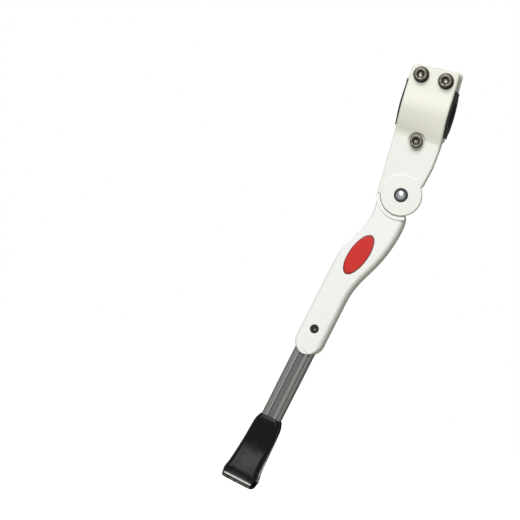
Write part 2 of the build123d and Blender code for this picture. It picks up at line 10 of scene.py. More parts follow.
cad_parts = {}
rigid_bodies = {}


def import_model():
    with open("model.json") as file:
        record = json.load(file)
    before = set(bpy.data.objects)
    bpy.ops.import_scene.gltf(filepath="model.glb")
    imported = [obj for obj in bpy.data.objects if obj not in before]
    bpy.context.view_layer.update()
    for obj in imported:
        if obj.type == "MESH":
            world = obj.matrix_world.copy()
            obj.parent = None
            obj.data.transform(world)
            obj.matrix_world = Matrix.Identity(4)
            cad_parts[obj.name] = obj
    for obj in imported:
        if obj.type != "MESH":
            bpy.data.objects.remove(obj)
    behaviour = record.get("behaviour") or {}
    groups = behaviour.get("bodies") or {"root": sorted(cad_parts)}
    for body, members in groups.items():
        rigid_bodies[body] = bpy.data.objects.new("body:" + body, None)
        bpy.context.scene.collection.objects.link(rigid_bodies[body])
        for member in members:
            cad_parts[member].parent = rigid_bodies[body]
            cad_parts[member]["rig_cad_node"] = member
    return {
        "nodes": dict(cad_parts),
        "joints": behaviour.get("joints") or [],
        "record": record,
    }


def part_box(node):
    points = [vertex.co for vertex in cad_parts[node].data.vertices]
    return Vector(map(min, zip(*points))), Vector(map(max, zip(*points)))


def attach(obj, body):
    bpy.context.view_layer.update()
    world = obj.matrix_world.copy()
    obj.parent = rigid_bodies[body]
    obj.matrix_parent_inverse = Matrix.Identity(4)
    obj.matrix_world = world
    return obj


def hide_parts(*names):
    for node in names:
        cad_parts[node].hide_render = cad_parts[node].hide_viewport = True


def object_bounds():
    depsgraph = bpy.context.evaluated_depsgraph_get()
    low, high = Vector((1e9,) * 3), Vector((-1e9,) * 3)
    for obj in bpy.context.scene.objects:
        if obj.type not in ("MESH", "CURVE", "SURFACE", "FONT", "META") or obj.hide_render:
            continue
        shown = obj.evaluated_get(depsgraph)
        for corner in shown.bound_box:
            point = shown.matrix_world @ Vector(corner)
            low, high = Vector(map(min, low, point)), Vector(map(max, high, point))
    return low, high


bl_info = {
    "name": "Clamp-on Kickstand",
    "version": (1, 0, 0),
    "blender": (4, 5, 0),
    "location": "View3D > Sidebar > Kickstand",
    "description": "Cast, moulded and machined pieces of a clamp-on bicycle kickstand",
    "category": "Object",
}

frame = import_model()
cad_box = [list(corner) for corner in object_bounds()]

MM = 0.001
UP = Vector((0.0, 0.0, 1.0))
BACK = Vector((0.0, 1.0, 0.0))
EXTENSION = next(j for j in frame["joints"] if j["name"] == "leg_extension")
LEG_DOWN = Vector(EXTENSION["axis"])
LEG_ACROSS = BACK.cross(-LEG_DOWN)
SOLE = Vector(next(m["pos_m"] for m in frame["record"]["mounts"] if m["name"] == "foot_sole"))
# The floor clears the sole at the leg's longest reach.
FLOOR = cad_box[0][2] - max(EXTENSION["range_m"]) * abs(LEG_DOWN.z) - 0.1 * MM

# What counts as one point and as one plane when a frame node's triangles are merged.
SAME_POINT = 0.003 * MM
SAME_PLANE = math.radians(0.3)
# Edges sharper than this angle are rounded, where both faces are this many widths deep.
SHARP_EDGE = math.radians(30)
ROUND_ROOM = 2.2
ROUND_SEGMENTS = 2


# Settings


def length_setting(label, description, default, least=0.0):
    """A length, given in millimetres."""
    return bpy.props.FloatProperty(
        name=label,
        description=description,
        default=default * MM,
        min=least * MM,
        unit="LENGTH",
    )


def angle_setting(label, description, degrees):
    """An angle, given in degrees."""
    return bpy.props.FloatProperty(
        name=label,
        description=description,
        default=math.radians(degrees),
        subtype="ANGLE",
    )


def power_setting(label, description, watts):
    """The power of a lamp."""
    return bpy.props.FloatProperty(
        name=label,
        description=description,
        default=watts,
        min=0.0,
        unit="POWER",
    )


def colour_setting(label, description, *colour):
    """A colour, given by its red, green and blue."""
    return bpy.props.FloatVectorProperty(
        name=label,
        description=description,
        default=colour,
        size=3,
        subtype="COLOR",
    )


class KickstandSizes(bpy.types.PropertyGroup):
    """Sizes of the details that are added to the frame."""

    casting_edge: length_setting(
        "Casting edge", "Round on the edges of the painted castings", 0.22
    )
    hardware_edge: length_setting(
        "Hardware edge", "Round on the edges of washers and other small metal pieces", 0.15
    )
    pad_edge: length_setting("Pad edge", "Round on the edges of the rubber pads", 0.3)
    saddle_slant: angle_setting(
        "Saddle slant", "Slant of the line where the saddle runs out on the neck", 12.7
    )
    block_lean: angle_setting(
        "Block lean", "Lean of the top block's face, out towards the saddle", 5.0
    )
    bolt_head: length_setting("Bolt head", "Height of a clamp bolt's head", 6.0, 1.0)
    bolt_shank: length_setting("Bolt shank", "Radius of a clamp bolt's shank", 3.0, 0.5)
    bolt_socket: length_setting(
        "Bolt socket", "Width across the flats of a clamp bolt's socket", 5.0, 0.5
    )
    thread_pitch: length_setting(
        "Thread pitch", "Pitch of the thread on the clamp bolts", 1.0, 0.2
    )
    knurl_ridges: bpy.props.IntProperty(
        name="Knurl ridges",
        description="Ridges round a bolt's head, in multiples of six",
        default=48,
        min=12,
    )
    screw_socket: length_setting(
        "Screw socket", "Width across the flats of the lock screw's socket", 3.0, 0.5
    )
    oval_length: length_setting("Oval length", "Length of the red oval", 34.3, 1.0)
    oval_width: length_setting("Oval width", "Width of the red oval", 14.3, 1.0)
    oval_lean: angle_setting("Oval lean", "Lean of the red oval from upright", 20.1)
    leg_width: length_setting("Leg width", "Width of the leg's section", 15.4, 1.0)
    leg_depth: length_setting("Leg depth", "Depth of the leg's section", 9.5, 1.0)
    foot_dish: length_setting("Foot dish", "Depth of the dished panel in front of the foot", 0.3)


class KickstandColours(bpy.types.PropertyGroup):
    """Colours of the finishes."""

    clamp_paint: colour_setting(
        "Clamp paint", "White paint of the clamp's neck and disc", 0.86, 0.86, 0.842
    )
    # Painted shade tint: creamier and darker over the clamp's saddle and top block.
    shade_tint_paint: colour_setting(
        "Shade tint paint", "Creamier paint round the clamp's saddle and top block", 0.826, 0.82, 0.745
    )
    arm_paint: colour_setting("Arm paint", "White paint of the arm", 0.89, 0.89, 0.90)
    inlay: colour_setting("Inlay", "Red of the oval on the arm", 0.60, 0.014, 0.008)
    rubber: colour_setting("Rubber", "Black rubber of the clamp pads", 0.012, 0.012, 0.013)
    moulding: colour_setting("Moulding", "Black plastic of the foot", 0.0014, 0.0015, 0.0019)
    leg: colour_setting("Leg", "Brushed metal of the sliding leg", 0.137, 0.141, 0.138)
    bolts: colour_setting("Bolts", "Dark nickel of the clamp bolts", 0.135, 0.128, 0.098)
    rivet: colour_setting("Rivet", "Bare steel of the pivot rivet", 0.30, 0.315, 0.34)


class KickstandStage(bpy.types.PropertyGroup):
    """Camera and light."""

    yaw: angle_setting("Yaw", "Turn of the camera towards the right of the stand", 9.3)
    roll: angle_setting("Roll", "Lean of the camera about its own axis", 16.1)
    distance: length_setting("Distance", "From the camera to the stand", 2500.0, 100.0)
    view_width: length_setting(
        "View width", "Width that the picture covers at the stand", 384.8, 10.0
    )
    key_power: power_setting(
        "Key power", "Power of the large soft lamp at the upper left", 107.0
    )
    front_power: power_setting("Front power", "Power of the small lamp beside the camera", 2.2)
    back_power: power_setting("Back power", "Power of the soft lamp behind the stand", 40.0)
    ambient: bpy.props.FloatProperty(
        name="Ambient",
        description="Strength of the even light from all round",
        default=0.225,
        min=0.0,
    )
    card_radius: length_setting(
        "Card radius", "Radius of the dark card that curves round the rear", 500.0, 50.0
    )
    card_start: angle_setting(
        "Card start", "Where the dark card starts, turned to the right from the front", 135.0
    )
    card_end: angle_setting(
        "Card end", "Where the dark card ends, turned to the right from the front", 196.0
    )


# Helpers for modelling


def deselect():
    """Back to object mode with nothing selected."""
    active = bpy.context.view_layer.objects.active
    if active and active.mode != "OBJECT":
        bpy.ops.object.mode_set(mode="OBJECT")
    bpy.ops.object.select_all(action="DESELECT")


def pick(piece):
    """Selects one object alone and makes it active."""
    deselect()
    piece.select_set(True)
    bpy.context.view_layer.objects.active = piece


def merged_copy(node, name):
    """A copy of a frame node with its loose triangles merged, free to be worked on."""
    pick(frame["nodes"][node])
    bpy.ops.object.duplicate()
    piece = bpy.context.view_layer.objects.active
    piece.name = name
    piece.data.name = name
    bpy.ops.object.parent_clear(type="CLEAR_KEEP_TRANSFORM")
    del piece["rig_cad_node"]
    bpy.ops.mesh.customdata_custom_splitnormals_clear()
    bpy.ops.object.mode_set(mode="EDIT")
    bpy.ops.mesh.select_all(action="SELECT")
    bpy.ops.mesh.remove_doubles(threshold=SAME_POINT)
    bpy.ops.mesh.dissolve_limited(angle_limit=SAME_PLANE)
    bpy.ops.object.mode_set(mode="OBJECT")
    return piece


def reach_from(face, edge, mesh):
    """How far a face reaches from the line of one of its edges."""
    start, end = (mesh.vertices[index].co for index in edge.vertices)
    line = (end - start).normalized()
    corners = [mesh.vertices[index].co - start for index in face.vertices]
    return max((corner - line * corner.dot(line)).length for corner in corners)


def round_edges(piece, width):
    """Rounds the sharp edges of a piece, apart from those of faces too narrow for the round."""
    pick(piece)
    mesh = piece.data
    sides = {}
    for face in mesh.polygons:
        for key in face.edge_keys:
            sides.setdefault(key, []).append(face)
    weight = mesh.attributes.new("bevel_weight_edge", "FLOAT", "EDGE")
    for edge in mesh.edges:
        first, last = sides[edge.key]
        if first.normal.angle(last.normal, 0.0) > SHARP_EDGE:
            room = min(reach_from(face, edge, mesh) for face in (first, last))
            weight.data[edge.index].value = 1.0 if room > ROUND_ROOM * width else 0.0
    bpy.ops.object.modifier_add(type="BEVEL")
    bevel = piece.modifiers[-1]
    bevel.width = width
    bevel.segments = ROUND_SEGMENTS
    bevel.limit_method = "WEIGHT"
    bevel.use_clamp_overlap = False
    bpy.ops.object.modifier_apply(modifier=bevel.name)
    mesh.attributes.remove(mesh.attributes["bevel_weight_edge"])


def even_shading(piece):
    """Smooth shading that keeps flat faces flat."""
    pick(piece)
    bpy.ops.object.shade_smooth_by_angle(angle=math.radians(40))
    bpy.ops.object.modifier_add(type="WEIGHTED_NORMAL")
    even = piece.modifiers[-1]
    even.keep_sharp = True
    even.weight = 80
    bpy.ops.object.modifier_apply(modifier=even.name)


def move_ring(shell, old_points, new_points):
    """Moves the selected ring of a shell from one list of points to another."""
    tree = KDTree(len(old_points))
    for index, point in enumerate(old_points):
        tree.insert(point, index)
    tree.balance()
    bpy.ops.object.mode_set(mode="OBJECT")
    for vertex in shell.data.vertices:
        if vertex.select:
            vertex.co = new_points[tree.find(vertex.co)[1]]
    bpy.ops.object.mode_set(mode="EDIT")


def ring_shell(name, rings):
    """A closed shell: a cap on the first ring, then one extruded ring after another."""
    deselect()
    count = len(rings[0])
    bpy.ops.mesh.primitive_circle_add(vertices=count, radius=1.0, fill_type="NGON")
    shell = bpy.context.view_layer.objects.active
    shell.name = name
    shell.data.name = name
    for vertex, point in zip(shell.data.vertices, rings[0]):
        vertex.co = point
    bpy.ops.object.mode_set(mode="EDIT")
    bpy.ops.mesh.select_mode(type="FACE")
    bpy.ops.mesh.select_all(action="SELECT")
    for old_points, new_points in zip(rings, rings[1:]):
        bpy.ops.mesh.extrude_region_move()
        move_ring(shell, old_points, new_points)
    bpy.ops.mesh.select_all(action="SELECT")
    bpy.ops.mesh.normals_make_consistent(inside=False)
    bpy.ops.object.mode_set(mode="OBJECT")
    return shell


def settle(piece, matrix):
    """Moves a piece to its place and keeps that place in its mesh."""
    pick(piece)
    piece.matrix_world = matrix
    bpy.ops.object.transform_apply()


def smooth(piece, degrees):
    """Smooth shading, with edges sharper than an angle kept hard."""
    pick(piece)
    bpy.ops.object.shade_smooth_by_angle(angle=math.radians(degrees))


def subdivide_smooth(piece, levels):
    """Subdivision surface, applied."""
    pick(piece)
    bpy.ops.object.modifier_add(type="SUBSURF")
    modifier = piece.modifiers[-1]
    modifier.levels = levels
    modifier.render_levels = levels
    bpy.ops.object.modifier_apply(modifier=modifier.name)


def circle(radius, height, count):
    """Points of a round ring."""
    turn = math.tau / count
    angles = [index * turn for index in range(count)]
    return [Vector((radius * math.cos(a), radius * math.sin(a), height)) for a in angles]


def hexagon(flats, height, count):
    """Points of a hexagonal ring, given its width across flats."""
    points = []
    for point in circle(1.0, height, count):
        angle = math.atan2(point.y, point.x) % math.radians(60)
        radius = flats / 2 / math.cos(angle - math.radians(30))
        points.append(Vector((point.x * radius, point.y * radius, height)))
    return points


def knurl(radius, depth, height, count, odd):
    """Points of a ring whose every other point is pressed in."""
    points = circle(radius, height, count)
    low = (radius - depth) / radius
    return [
        Vector((p.x * low, p.y * low, p.z)) if i % 2 == odd else p for i, p in enumerate(points)
    ]


def rounded_box(width, depth, corner, count):
    """Points evenly round a rectangle with rounded corners, from the middle of its right side."""
    straight_x = width - 2 * corner
    straight_y = depth - 2 * corner
    quarter = math.pi * corner / 2
    total = 2 * straight_x + 2 * straight_y + 4 * quarter
    corners = ((1, 1, 0.0), (-1, 1, 90.0), (-1, -1, 180.0), (1, -1, 270.0))
    sides = (
        (Vector((straight_x / 2, depth / 2)), Vector((-1, 0)), straight_x),
        (Vector((-width / 2, straight_y / 2)), Vector((0, -1)), straight_y),
        (Vector((-straight_x / 2, -depth / 2)), Vector((1, 0)), straight_x),
        (Vector((width / 2, -straight_y / 2)), Vector((0, 1)), straight_y),
    )
    points = []
    for index in range(count):
        along = (index / count * total - straight_y / 2) % total
        for (sx, sy, start), (base, step, run) in zip(corners, sides):
            if along < quarter:
                angle = math.radians(start) + along / corner
                x = sx * straight_x / 2 + corner * math.cos(angle)
                y = sy * straight_y / 2 + corner * math.sin(angle)
                break
            along -= quarter
            if along < run:
                x, y = base + step * along
                break
            along -= run
        points.append(Vector((x, y)))
    return points


def eased(value, start, end):
    """Rises smoothly from 0 at the start to 1 at the end."""
    share = min(1.0, max(0.0, (value - start) / (end - start)))
    return share * share * (3 - 2 * share)


def along_curve(table, value):
    """Reads a table of (place, size) pairs, straight from one row to the next."""
    for (low, first), (high, last) in zip(table, table[1:]):
        if value <= high:
            return first + (last - first) * min(1.0, max(0.0, (value - low) / (high - low)))
    return table[-1][1]


def leg_matrix(spot):
    """Stands a piece at a spot with its own Z along the leg and its back to +Y."""
    turned = Matrix((LEG_ACROSS, BACK, -LEG_DOWN)).transposed().to_4x4()
    return Matrix.Translation(spot) @ turned


def facing_front(spot, turn):
    """Stands a piece at a spot with its own Z towards the viewer's side."""
    facing = Matrix.Translation(spot) @ Matrix.Rotation(math.radians(90), 4, "X")
    return facing @ Matrix.Rotation(turn, 4, "Z")


def finish_piece(piece, body, material, node):
    """Gives a piece its finish and its body, and hides the node that it stands for."""
    piece.data.materials.clear()
    piece.data.materials.append(material)
    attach(piece, body)
    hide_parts(node)


def finish_node(node, material):
    """Gives a frame node its finish."""
    mesh = frame["nodes"][node].data
    mesh.materials.clear()
    mesh.materials.append(material)


# Helpers for finishes


def new_finish(name, **values):
    """A material with its shader's own sockets set."""
    material = bpy.data.materials.new(name)
    material.use_nodes = True
    shader = material.node_tree.nodes["Principled BSDF"]
    for socket, value in values.items():
        shader.inputs[socket.replace("_", " ")].default_value = value
    return material


def add(material, kind, inputs=None, **settings):
    """One node in a material or a world; an input is a value or another node's socket."""
    tree = material.node_tree
    node = tree.nodes.new("ShaderNode" + kind)
    for name, value in settings.items():
        setattr(node, name, value)
    for name, value in (inputs or {}).items():
        if isinstance(value, bpy.types.NodeSocket):
            tree.links.new(value, node.inputs[name])
        else:
            node.inputs[name].default_value = value
    return node


def feed(material, socket, name):
    """Links a socket to the material's shader."""
    tree = material.node_tree
    tree.links.new(socket, tree.nodes["Principled BSDF"].inputs[name])


def place(material):
    """The piece's own coordinates."""
    return add(material, "TexCoord").outputs["Object"]


def noise(material, vector, scale, detail=4.0, roughness=0.5):
    """A noise value over the piece."""
    values = {"Vector": vector, "Scale": scale, "Detail": detail, "Roughness": roughness}
    return add(material, "TexNoise", values).outputs["Fac"]


def spread(material, value, low, high, start=0.0, end=1.0):
    """Moves a value from one range to another."""
    values = {"Value": value, "From Min": start, "From Max": end, "To Min": low, "To Max": high}
    return add(material, "MapRange", values).outputs["Result"]


def mixed(material, factor, first, second):
    """A colour between two others."""
    mix = add(material, "Mix", data_type="RGBA")
    tree = material.node_tree
    tree.links.new(factor, mix.inputs["Factor"])
    for index, colour in ((6, first), (7, second)):
        if isinstance(colour, bpy.types.NodeSocket):
            tree.links.new(colour, mix.inputs[index])
        else:
            mix.inputs[index].default_value = (*colour, 1.0)
    return mix.outputs[2]


def surface(material, colour, roughness, height, depth, strength):
    """Feeds a colour, a roughness and a bump to the shader, the bump's depth in millimetres."""
    values = {"Height": height, "Distance": depth * MM, "Strength": strength}
    feed(material, colour, "Base Color")
    feed(material, roughness, "Roughness")
    feed(material, add(material, "Bump", values).outputs["Normal"], "Normal")
    return material


def dot_product(material, first, second):
    """How far one vector reaches along another."""
    values = {0: first, 1: second}
    return add(material, "VectorMath", values, operation="DOT_PRODUCT").outputs["Value"]


def edge_share(material, radius):
    """Nearly 0 on open faces, rising towards 1 at edges."""
    rounded = add(material, "Bevel", {"Radius": radius}, samples=6).outputs["Normal"]
    true_normal = add(material, "NewGeometry").outputs["Normal"]
    return spread(material, dot_product(material, rounded, true_normal), 1.0, 0.0, 0.75, 1.0)


def product(material, first, second):
    """Two values multiplied."""
    return add(material, "Math", {0: first, 1: second}, operation="MULTIPLY").outputs[0]


def band(material, value, middle, half_width):
    """1 inside a band of a value, fading to 0 just outside it."""
    apart = add(material, "Math", {0: value, 1: middle}, operation="SUBTRACT").outputs[0]
    distance = add(material, "Math", {0: apart}, operation="ABSOLUTE").outputs[0]
    return spread(material, distance, 1.0, 0.0, half_width, half_width + 0.25 * MM)


def shade_of(colour, factor):
    """A lighter or darker copy of a colour."""
    return tuple(min(1.0, channel * factor) for channel in colour)


def seen_share(material):
    """1 for what is seen straight, in a gloss or through glass; 0 where it only gives light."""
    rays = add(material, "LightPath").outputs
    first = {0: rays["Is Camera Ray"], 1: rays["Is Glossy Ray"]}
    either = add(material, "Math", first, operation="MAXIMUM").outputs[0]
    second = {0: either, 1: rays["Is Transmission Ray"]}
    return add(material, "Math", second, operation="MAXIMUM").outputs[0]


# Finishes


def cast_paint(name, colour, shade_tint_colour):
    """White paint: faint orange peel, worn edges, painted shade in creases, a painted shade tint up
    top.
    """
    material = new_finish(
        name, Roughness=0.46, Specular_IOR_Level=0.22, Coat_Weight=0.05, Coat_Roughness=0.2
    )
    at = place(material)
    cloud = noise(material, at, 60.0, 3.0)
    # Painted shade tint, from none on the neck to full over the saddle and top block.
    height = add(material, "SeparateXYZ", {"Vector": at}).outputs["Z"]
    shade_tint_share = spread(material, height, 0.0, 1.0, -28.0 * MM, -18.0 * MM)
    paint = mixed(material, shade_tint_share, colour, shade_tint_colour)
    # Greyer on edges and in creases: worn paint on edges, painted shade in creases.
    painted_light_and_wear = mixed(material, edge_share(material, 0.5 * MM), paint, (0.60, 0.60, 0.575))
    patches = spread(material, cloud, 0.0, 0.22, 0.35, 0.7)
    tinted = mixed(material, patches, painted_light_and_wear, shade_of(colour, 0.93))
    rough = spread(material, noise(material, at, 220.0), 0.42, 0.56)
    return surface(material, tinted, rough, noise(material, at, 900.0, 3.0), 0.05, 0.5)


def pad_rubber(colour):
    """Matt black rubber with a fine grain."""
    material = new_finish("clamp_pad_rubber", Roughness=0.75, Specular_IOR_Level=0.25)
    at = place(material)
    grain = noise(material, at, 1400.0, 5.0, 0.6)
    grained = mixed(material, grain, shade_of(colour, 0.6), shade_of(colour, 1.6))
    rough = spread(material, noise(material, at, 500.0), 0.62, 0.85)
    return surface(material, grained, rough, grain, 0.12, 0.7)


def bolt_nickel(colour):
    """Dark nickel plating, a little uneven."""
    material = new_finish("dark_bolt_nickel", Metallic=1.0, Roughness=0.3)
    at = place(material)
    cloud = noise(material, at, 700.0)
    plating = mixed(material, cloud, shade_of(colour, 0.7), shade_of(colour, 1.3))
    # Lighter on edges: worn plating and painted highlight.
    edge_wear_and_highlight = mixed(material, edge_share(material, 0.25 * MM), plating, (0.42, 0.405, 0.33))
    rough = spread(material, noise(material, at, 1500.0), 0.16, 0.34)
    return surface(material, edge_wear_and_highlight, rough, noise(material, at, 2600.0), 0.02, 0.5)


def socket_highlight_steel():
    """Steel at the bottom of a socket, dark with bright flecks of painted highlight."""
    material = new_finish("painted_socket_highlight", Metallic=1.0, Roughness=0.3)
    at = place(material)
    marks = noise(material, at, 1300.0, 3.0, 0.6)
    # Painted highlight: bright flecks over a dark floor.
    share = spread(material, marks, 0.0, 1.0, 0.48, 0.64)
    painted_glints = mixed(material, share, (0.03, 0.028, 0.024), (0.44, 0.42, 0.36))
    return surface(material, painted_glints, spread(material, marks, 0.2, 0.4), marks, 0.03, 0.5)


def shade_painted_steel():
    """Near-black steel on washers, knurls and in sockets as painted shade, with lighter edges."""
    material = new_finish("shade_painted_steel", Metallic=0.7, Roughness=0.45, Specular_IOR_Level=0.25)
    at = place(material)
    film = noise(material, at, 900.0, 5.0, 0.6)
    dark = mixed(material, film, (0.010, 0.009, 0.008), (0.036, 0.033, 0.027))
    # Lighter on edges: worn steel and painted highlight.
    edge_wear_and_highlight = mixed(material, edge_share(material, 0.2 * MM), dark, (0.13, 0.12, 0.10))
    return surface(material, edge_wear_and_highlight, spread(material, film, 0.3, 0.55), film, 0.02, 0.5)


def rivet_steel(colour):
    """Turned steel, with faint rings about the pivot and painted shade towards its foot."""
    material = new_finish("turned_rivet_steel", Metallic=1.0, Roughness=0.24)
    at = place(material)
    low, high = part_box("pivot_rivet")
    centre = (low + high) / 2
    moved = add(material, "Mapping", {"Vector": at, "Location": -centre}).outputs["Vector"]
    rings = add(
        material,
        "TexWave",
        {"Vector": moved, "Scale": 420.0, "Distortion": 1.5, "Detail": 2.0},
        wave_type="RINGS",
        rings_direction="Y",
    ).outputs["Fac"]
    cloud = noise(material, at, 500.0)
    clean = mixed(material, cloud, shade_of(colour, 0.85), shade_of(colour, 1.15))
    # Painted shade, darker from the dome's middle out to its foot on the disc.
    depth = add(material, "SeparateXYZ", {"Vector": at}).outputs["Y"]
    dome = spread(material, depth, 1.0, 0.0, low.y + 2.6 * MM, low.y + 3.4 * MM)
    below = spread(material, depth, 0.0, 0.98, low.y + 0.25 * MM, low.y + 1.5 * MM)
    painted_rim_shade = product(material, dome, below)
    rim_shaded = mixed(material, painted_rim_shade, clean, shade_of(colour, 0.09))
    return surface(material, rim_shaded, spread(material, rings, 0.22, 0.34), rings, 0.012, 0.4)


def bearing_bronze():
    """Sintered bronze of the pivot's bearings."""
    material = new_finish("bearing_bronze", Metallic=1.0, Roughness=0.4)
    at = place(material)
    pores = noise(material, at, 1800.0, 5.0, 0.6)
    bronze = mixed(material, pores, (0.25, 0.15, 0.07), (0.50, 0.34, 0.17))
    return surface(material, bronze, spread(material, pores, 0.3, 0.55), pores, 0.02, 0.5)


def spring_steel():
    """Oiled spring wire and hardened pin."""
    material = new_finish("oiled_spring_steel", Metallic=1.0, Roughness=0.3)
    at = place(material)
    film = noise(material, at, 600.0)
    oiled = mixed(material, film, (0.14, 0.14, 0.145), (0.36, 0.36, 0.37))
    rough = spread(material, film, 0.22, 0.42)
    return surface(material, oiled, rough, noise(material, at, 2200.0), 0.01, 0.5)


def red_enamel(colour, sizes):
    """Clear-coated red, slightly mottled under the coat and darker round its rim."""
    material = new_finish(
        "red_enamel", Roughness=0.32, Specular_IOR_Level=0.2, Coat_Weight=0.35, Coat_Roughness=0.06
    )
    at = place(material)
    mottle = noise(material, at, 320.0, 5.0, 0.6)
    low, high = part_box("oval_inlay")
    unit = add(
        material,
        "Mapping",
        {
            "Vector": at,
            "Location": (low + high) / 2,
            "Rotation": (0.0, sizes.oval_lean, 0.0),
            "Scale": (sizes.oval_width / 2, 1000.0, sizes.oval_length / 2),
        },
        vector_type="TEXTURE",
    ).outputs["Vector"]
    out = add(material, "VectorMath", {0: unit}, operation="LENGTH").outputs["Value"]
    rim = spread(material, out, 0.0, 1.0, 0.88, 0.97)
    deep = mixed(material, mottle, shade_of(colour, 0.86), shade_of(colour, 1.1))
    rimmed = mixed(material, rim, deep, shade_of(colour, 0.3))
    rough = spread(material, mottle, 0.26, 0.4)
    return surface(material, rimmed, rough, noise(material, at, 420.0, 2.0), 0.03, 0.4)


def brushed_metal(colour):
    """Extruded metal with drawing lines along the leg."""
    material = new_finish("brushed_leg_metal", Metallic=1.0, Roughness=0.38)
    at = place(material)
    lean = math.atan2(LEG_DOWN.x, -LEG_DOWN.z)
    drawing = {"Vector": at, "Rotation": (0.0, lean, 0.0), "Scale": (1.0, 1.0, 0.02)}
    along = add(material, "Mapping", drawing).outputs["Vector"]
    lines = noise(material, along, 2600.0, 4.0, 0.65)
    bands = noise(material, along, 420.0, 3.0)
    streaks = mixed(material, lines, shade_of(colour, 0.7), shade_of(colour, 1.3))
    drawn = mixed(material, spread(material, bands, 0.0, 0.4), streaks, shade_of(colour, 1.2))
    specks = spread(material, noise(material, at, 900.0, 2.0, 0.6), 0.0, 0.6, 0.42, 0.68)
    drawn = mixed(material, specks, drawn, shade_of(colour, 0.6))
    grain = noise(material, at, 1500.0, 5.0, 0.7)
    slot_floor = mixed(material, grain, shade_of(colour, 0.4), shade_of(colour, 0.95))
    low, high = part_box("leg")
    middle = LEG_ACROSS.dot((low + high) / 2)
    side = dot_product(material, at, LEG_ACROSS)
    in_slot = band(material, side, middle - 0.45 * MM, 2.1 * MM)
    metal = mixed(material, in_slot, drawn, slot_floor)
    # Painted shadow on the slot's edge, painted highlights on the bead either side of it, painted
    # shade in the groove at the right.
    for offset, half_width, factor in (
        (-2.55, 0.2, 0.5),
        (-3.25, 0.3, 1.9),
        (2.2, 0.25, 1.7),
        (4.8, 0.3, 0.55),
    ):
        stripe = band(material, side, middle + offset * MM, half_width * MM)
        metal = mixed(material, stripe, metal, shade_of(colour, factor))
    return surface(material, metal, spread(material, lines, 0.3, 0.5), lines, 0.03, 0.6)


def black_moulding(colour):
    """Glossy black moulded plastic, faint ripples, painted sheen and painted highlights at the lip.
    """
    material = new_finish("black_foot_moulding", Roughness=0.18, Specular_IOR_Level=0.11)
    at = place(material)
    scuffs = noise(material, at, 240.0, 5.0, 0.6)
    plain = mixed(material, scuffs, shade_of(colour, 0.8), shade_of(colour, 1.3))
    up = dot_product(material, at, -LEG_DOWN)
    height = add(material, "Math", {0: up, 1: SOLE.dot(-LEG_DOWN)}, operation="SUBTRACT").outputs[0]
    painted_glints = noise(material, at, 380.0, 4.0, 0.7)
    # Painted sheen: grey on the front just above the lip, fading upwards.
    above_rim = spread(material, height, 0.0, 1.0, 2.9 * MM, 3.4 * MM)
    glow = product(material, above_rim, spread(material, height, 0.08, 0.0, 3.4 * MM, 6.5 * MM))
    depth = add(material, "SeparateXYZ", {"Vector": at}).outputs["Y"]
    in_front = spread(material, depth, 1.0, 0.0, -10.9 * MM, -10.3 * MM)
    # Painted highlights: a bright band on the lip and a thin line on the bead, broken up by noise.
    rim = product(material, in_front, band(material, height, 3.3 * MM, 0.5 * MM))
    bead = product(material, in_front, band(material, height, 1.15 * MM, 0.05 * MM))
    painted_lip_highlight = product(material, rim, spread(material, painted_glints, 0.6, 1.0, 0.3, 0.55))
    painted_bead_highlight = product(material, bead, spread(material, painted_glints, 0.0, 0.8, 0.4, 0.6))
    painted_light_and_wear = mixed(material, product(material, in_front, glow), plain, (0.55, 0.55, 0.54))
    painted_light_and_wear = mixed(material, painted_lip_highlight, painted_light_and_wear, (0.62, 0.62, 0.60))
    painted_light_and_wear = mixed(material, painted_bead_highlight, painted_light_and_wear, (0.5, 0.5, 0.48))
    patches = noise(material, at, 110.0, 3.0, 0.6)
    rough = spread(material, patches, 0.13, 0.34, 0.3, 0.7)
    return surface(material, painted_light_and_wear, rough, noise(material, at, 95.0, 3.0), 0.2, 0.5)


def pale_floor():
    """Pale matt floor, white to the camera apart from shadows."""
    material = new_finish("pale_studio_floor", Roughness=0.9, Specular_IOR_Level=0.0)
    speckle = noise(material, place(material), 900.0)
    pale = mixed(material, speckle, (0.28, 0.286, 0.19), (0.32, 0.326, 0.23))
    feed(material, pale, "Base Color")
    level = spread(material, seen_share(material), 0.0, 0.92)
    glow = add(material, "Emission", {"Color": (1.0, 1.0, 1.0, 1.0), "Strength": level})
    tree = material.node_tree
    shader = tree.nodes["Principled BSDF"]
    both = add(material, "AddShader", {0: shader.outputs[0], 1: glow.outputs[0]})
    tree.links.new(both.outputs[0], tree.nodes["Material Output"].inputs["Surface"])
    return material


def dark_card():
    """Matt black card of the studio."""
    material = new_finish("dark_studio_card", Roughness=1.0, Specular_IOR_Level=0.0)
    weave = noise(material, place(material), 300.0)
    feed(material, mixed(material, weave, (0.02, 0.02, 0.02), (0.03, 0.03, 0.03)), "Base Color")
    return material


# Operators


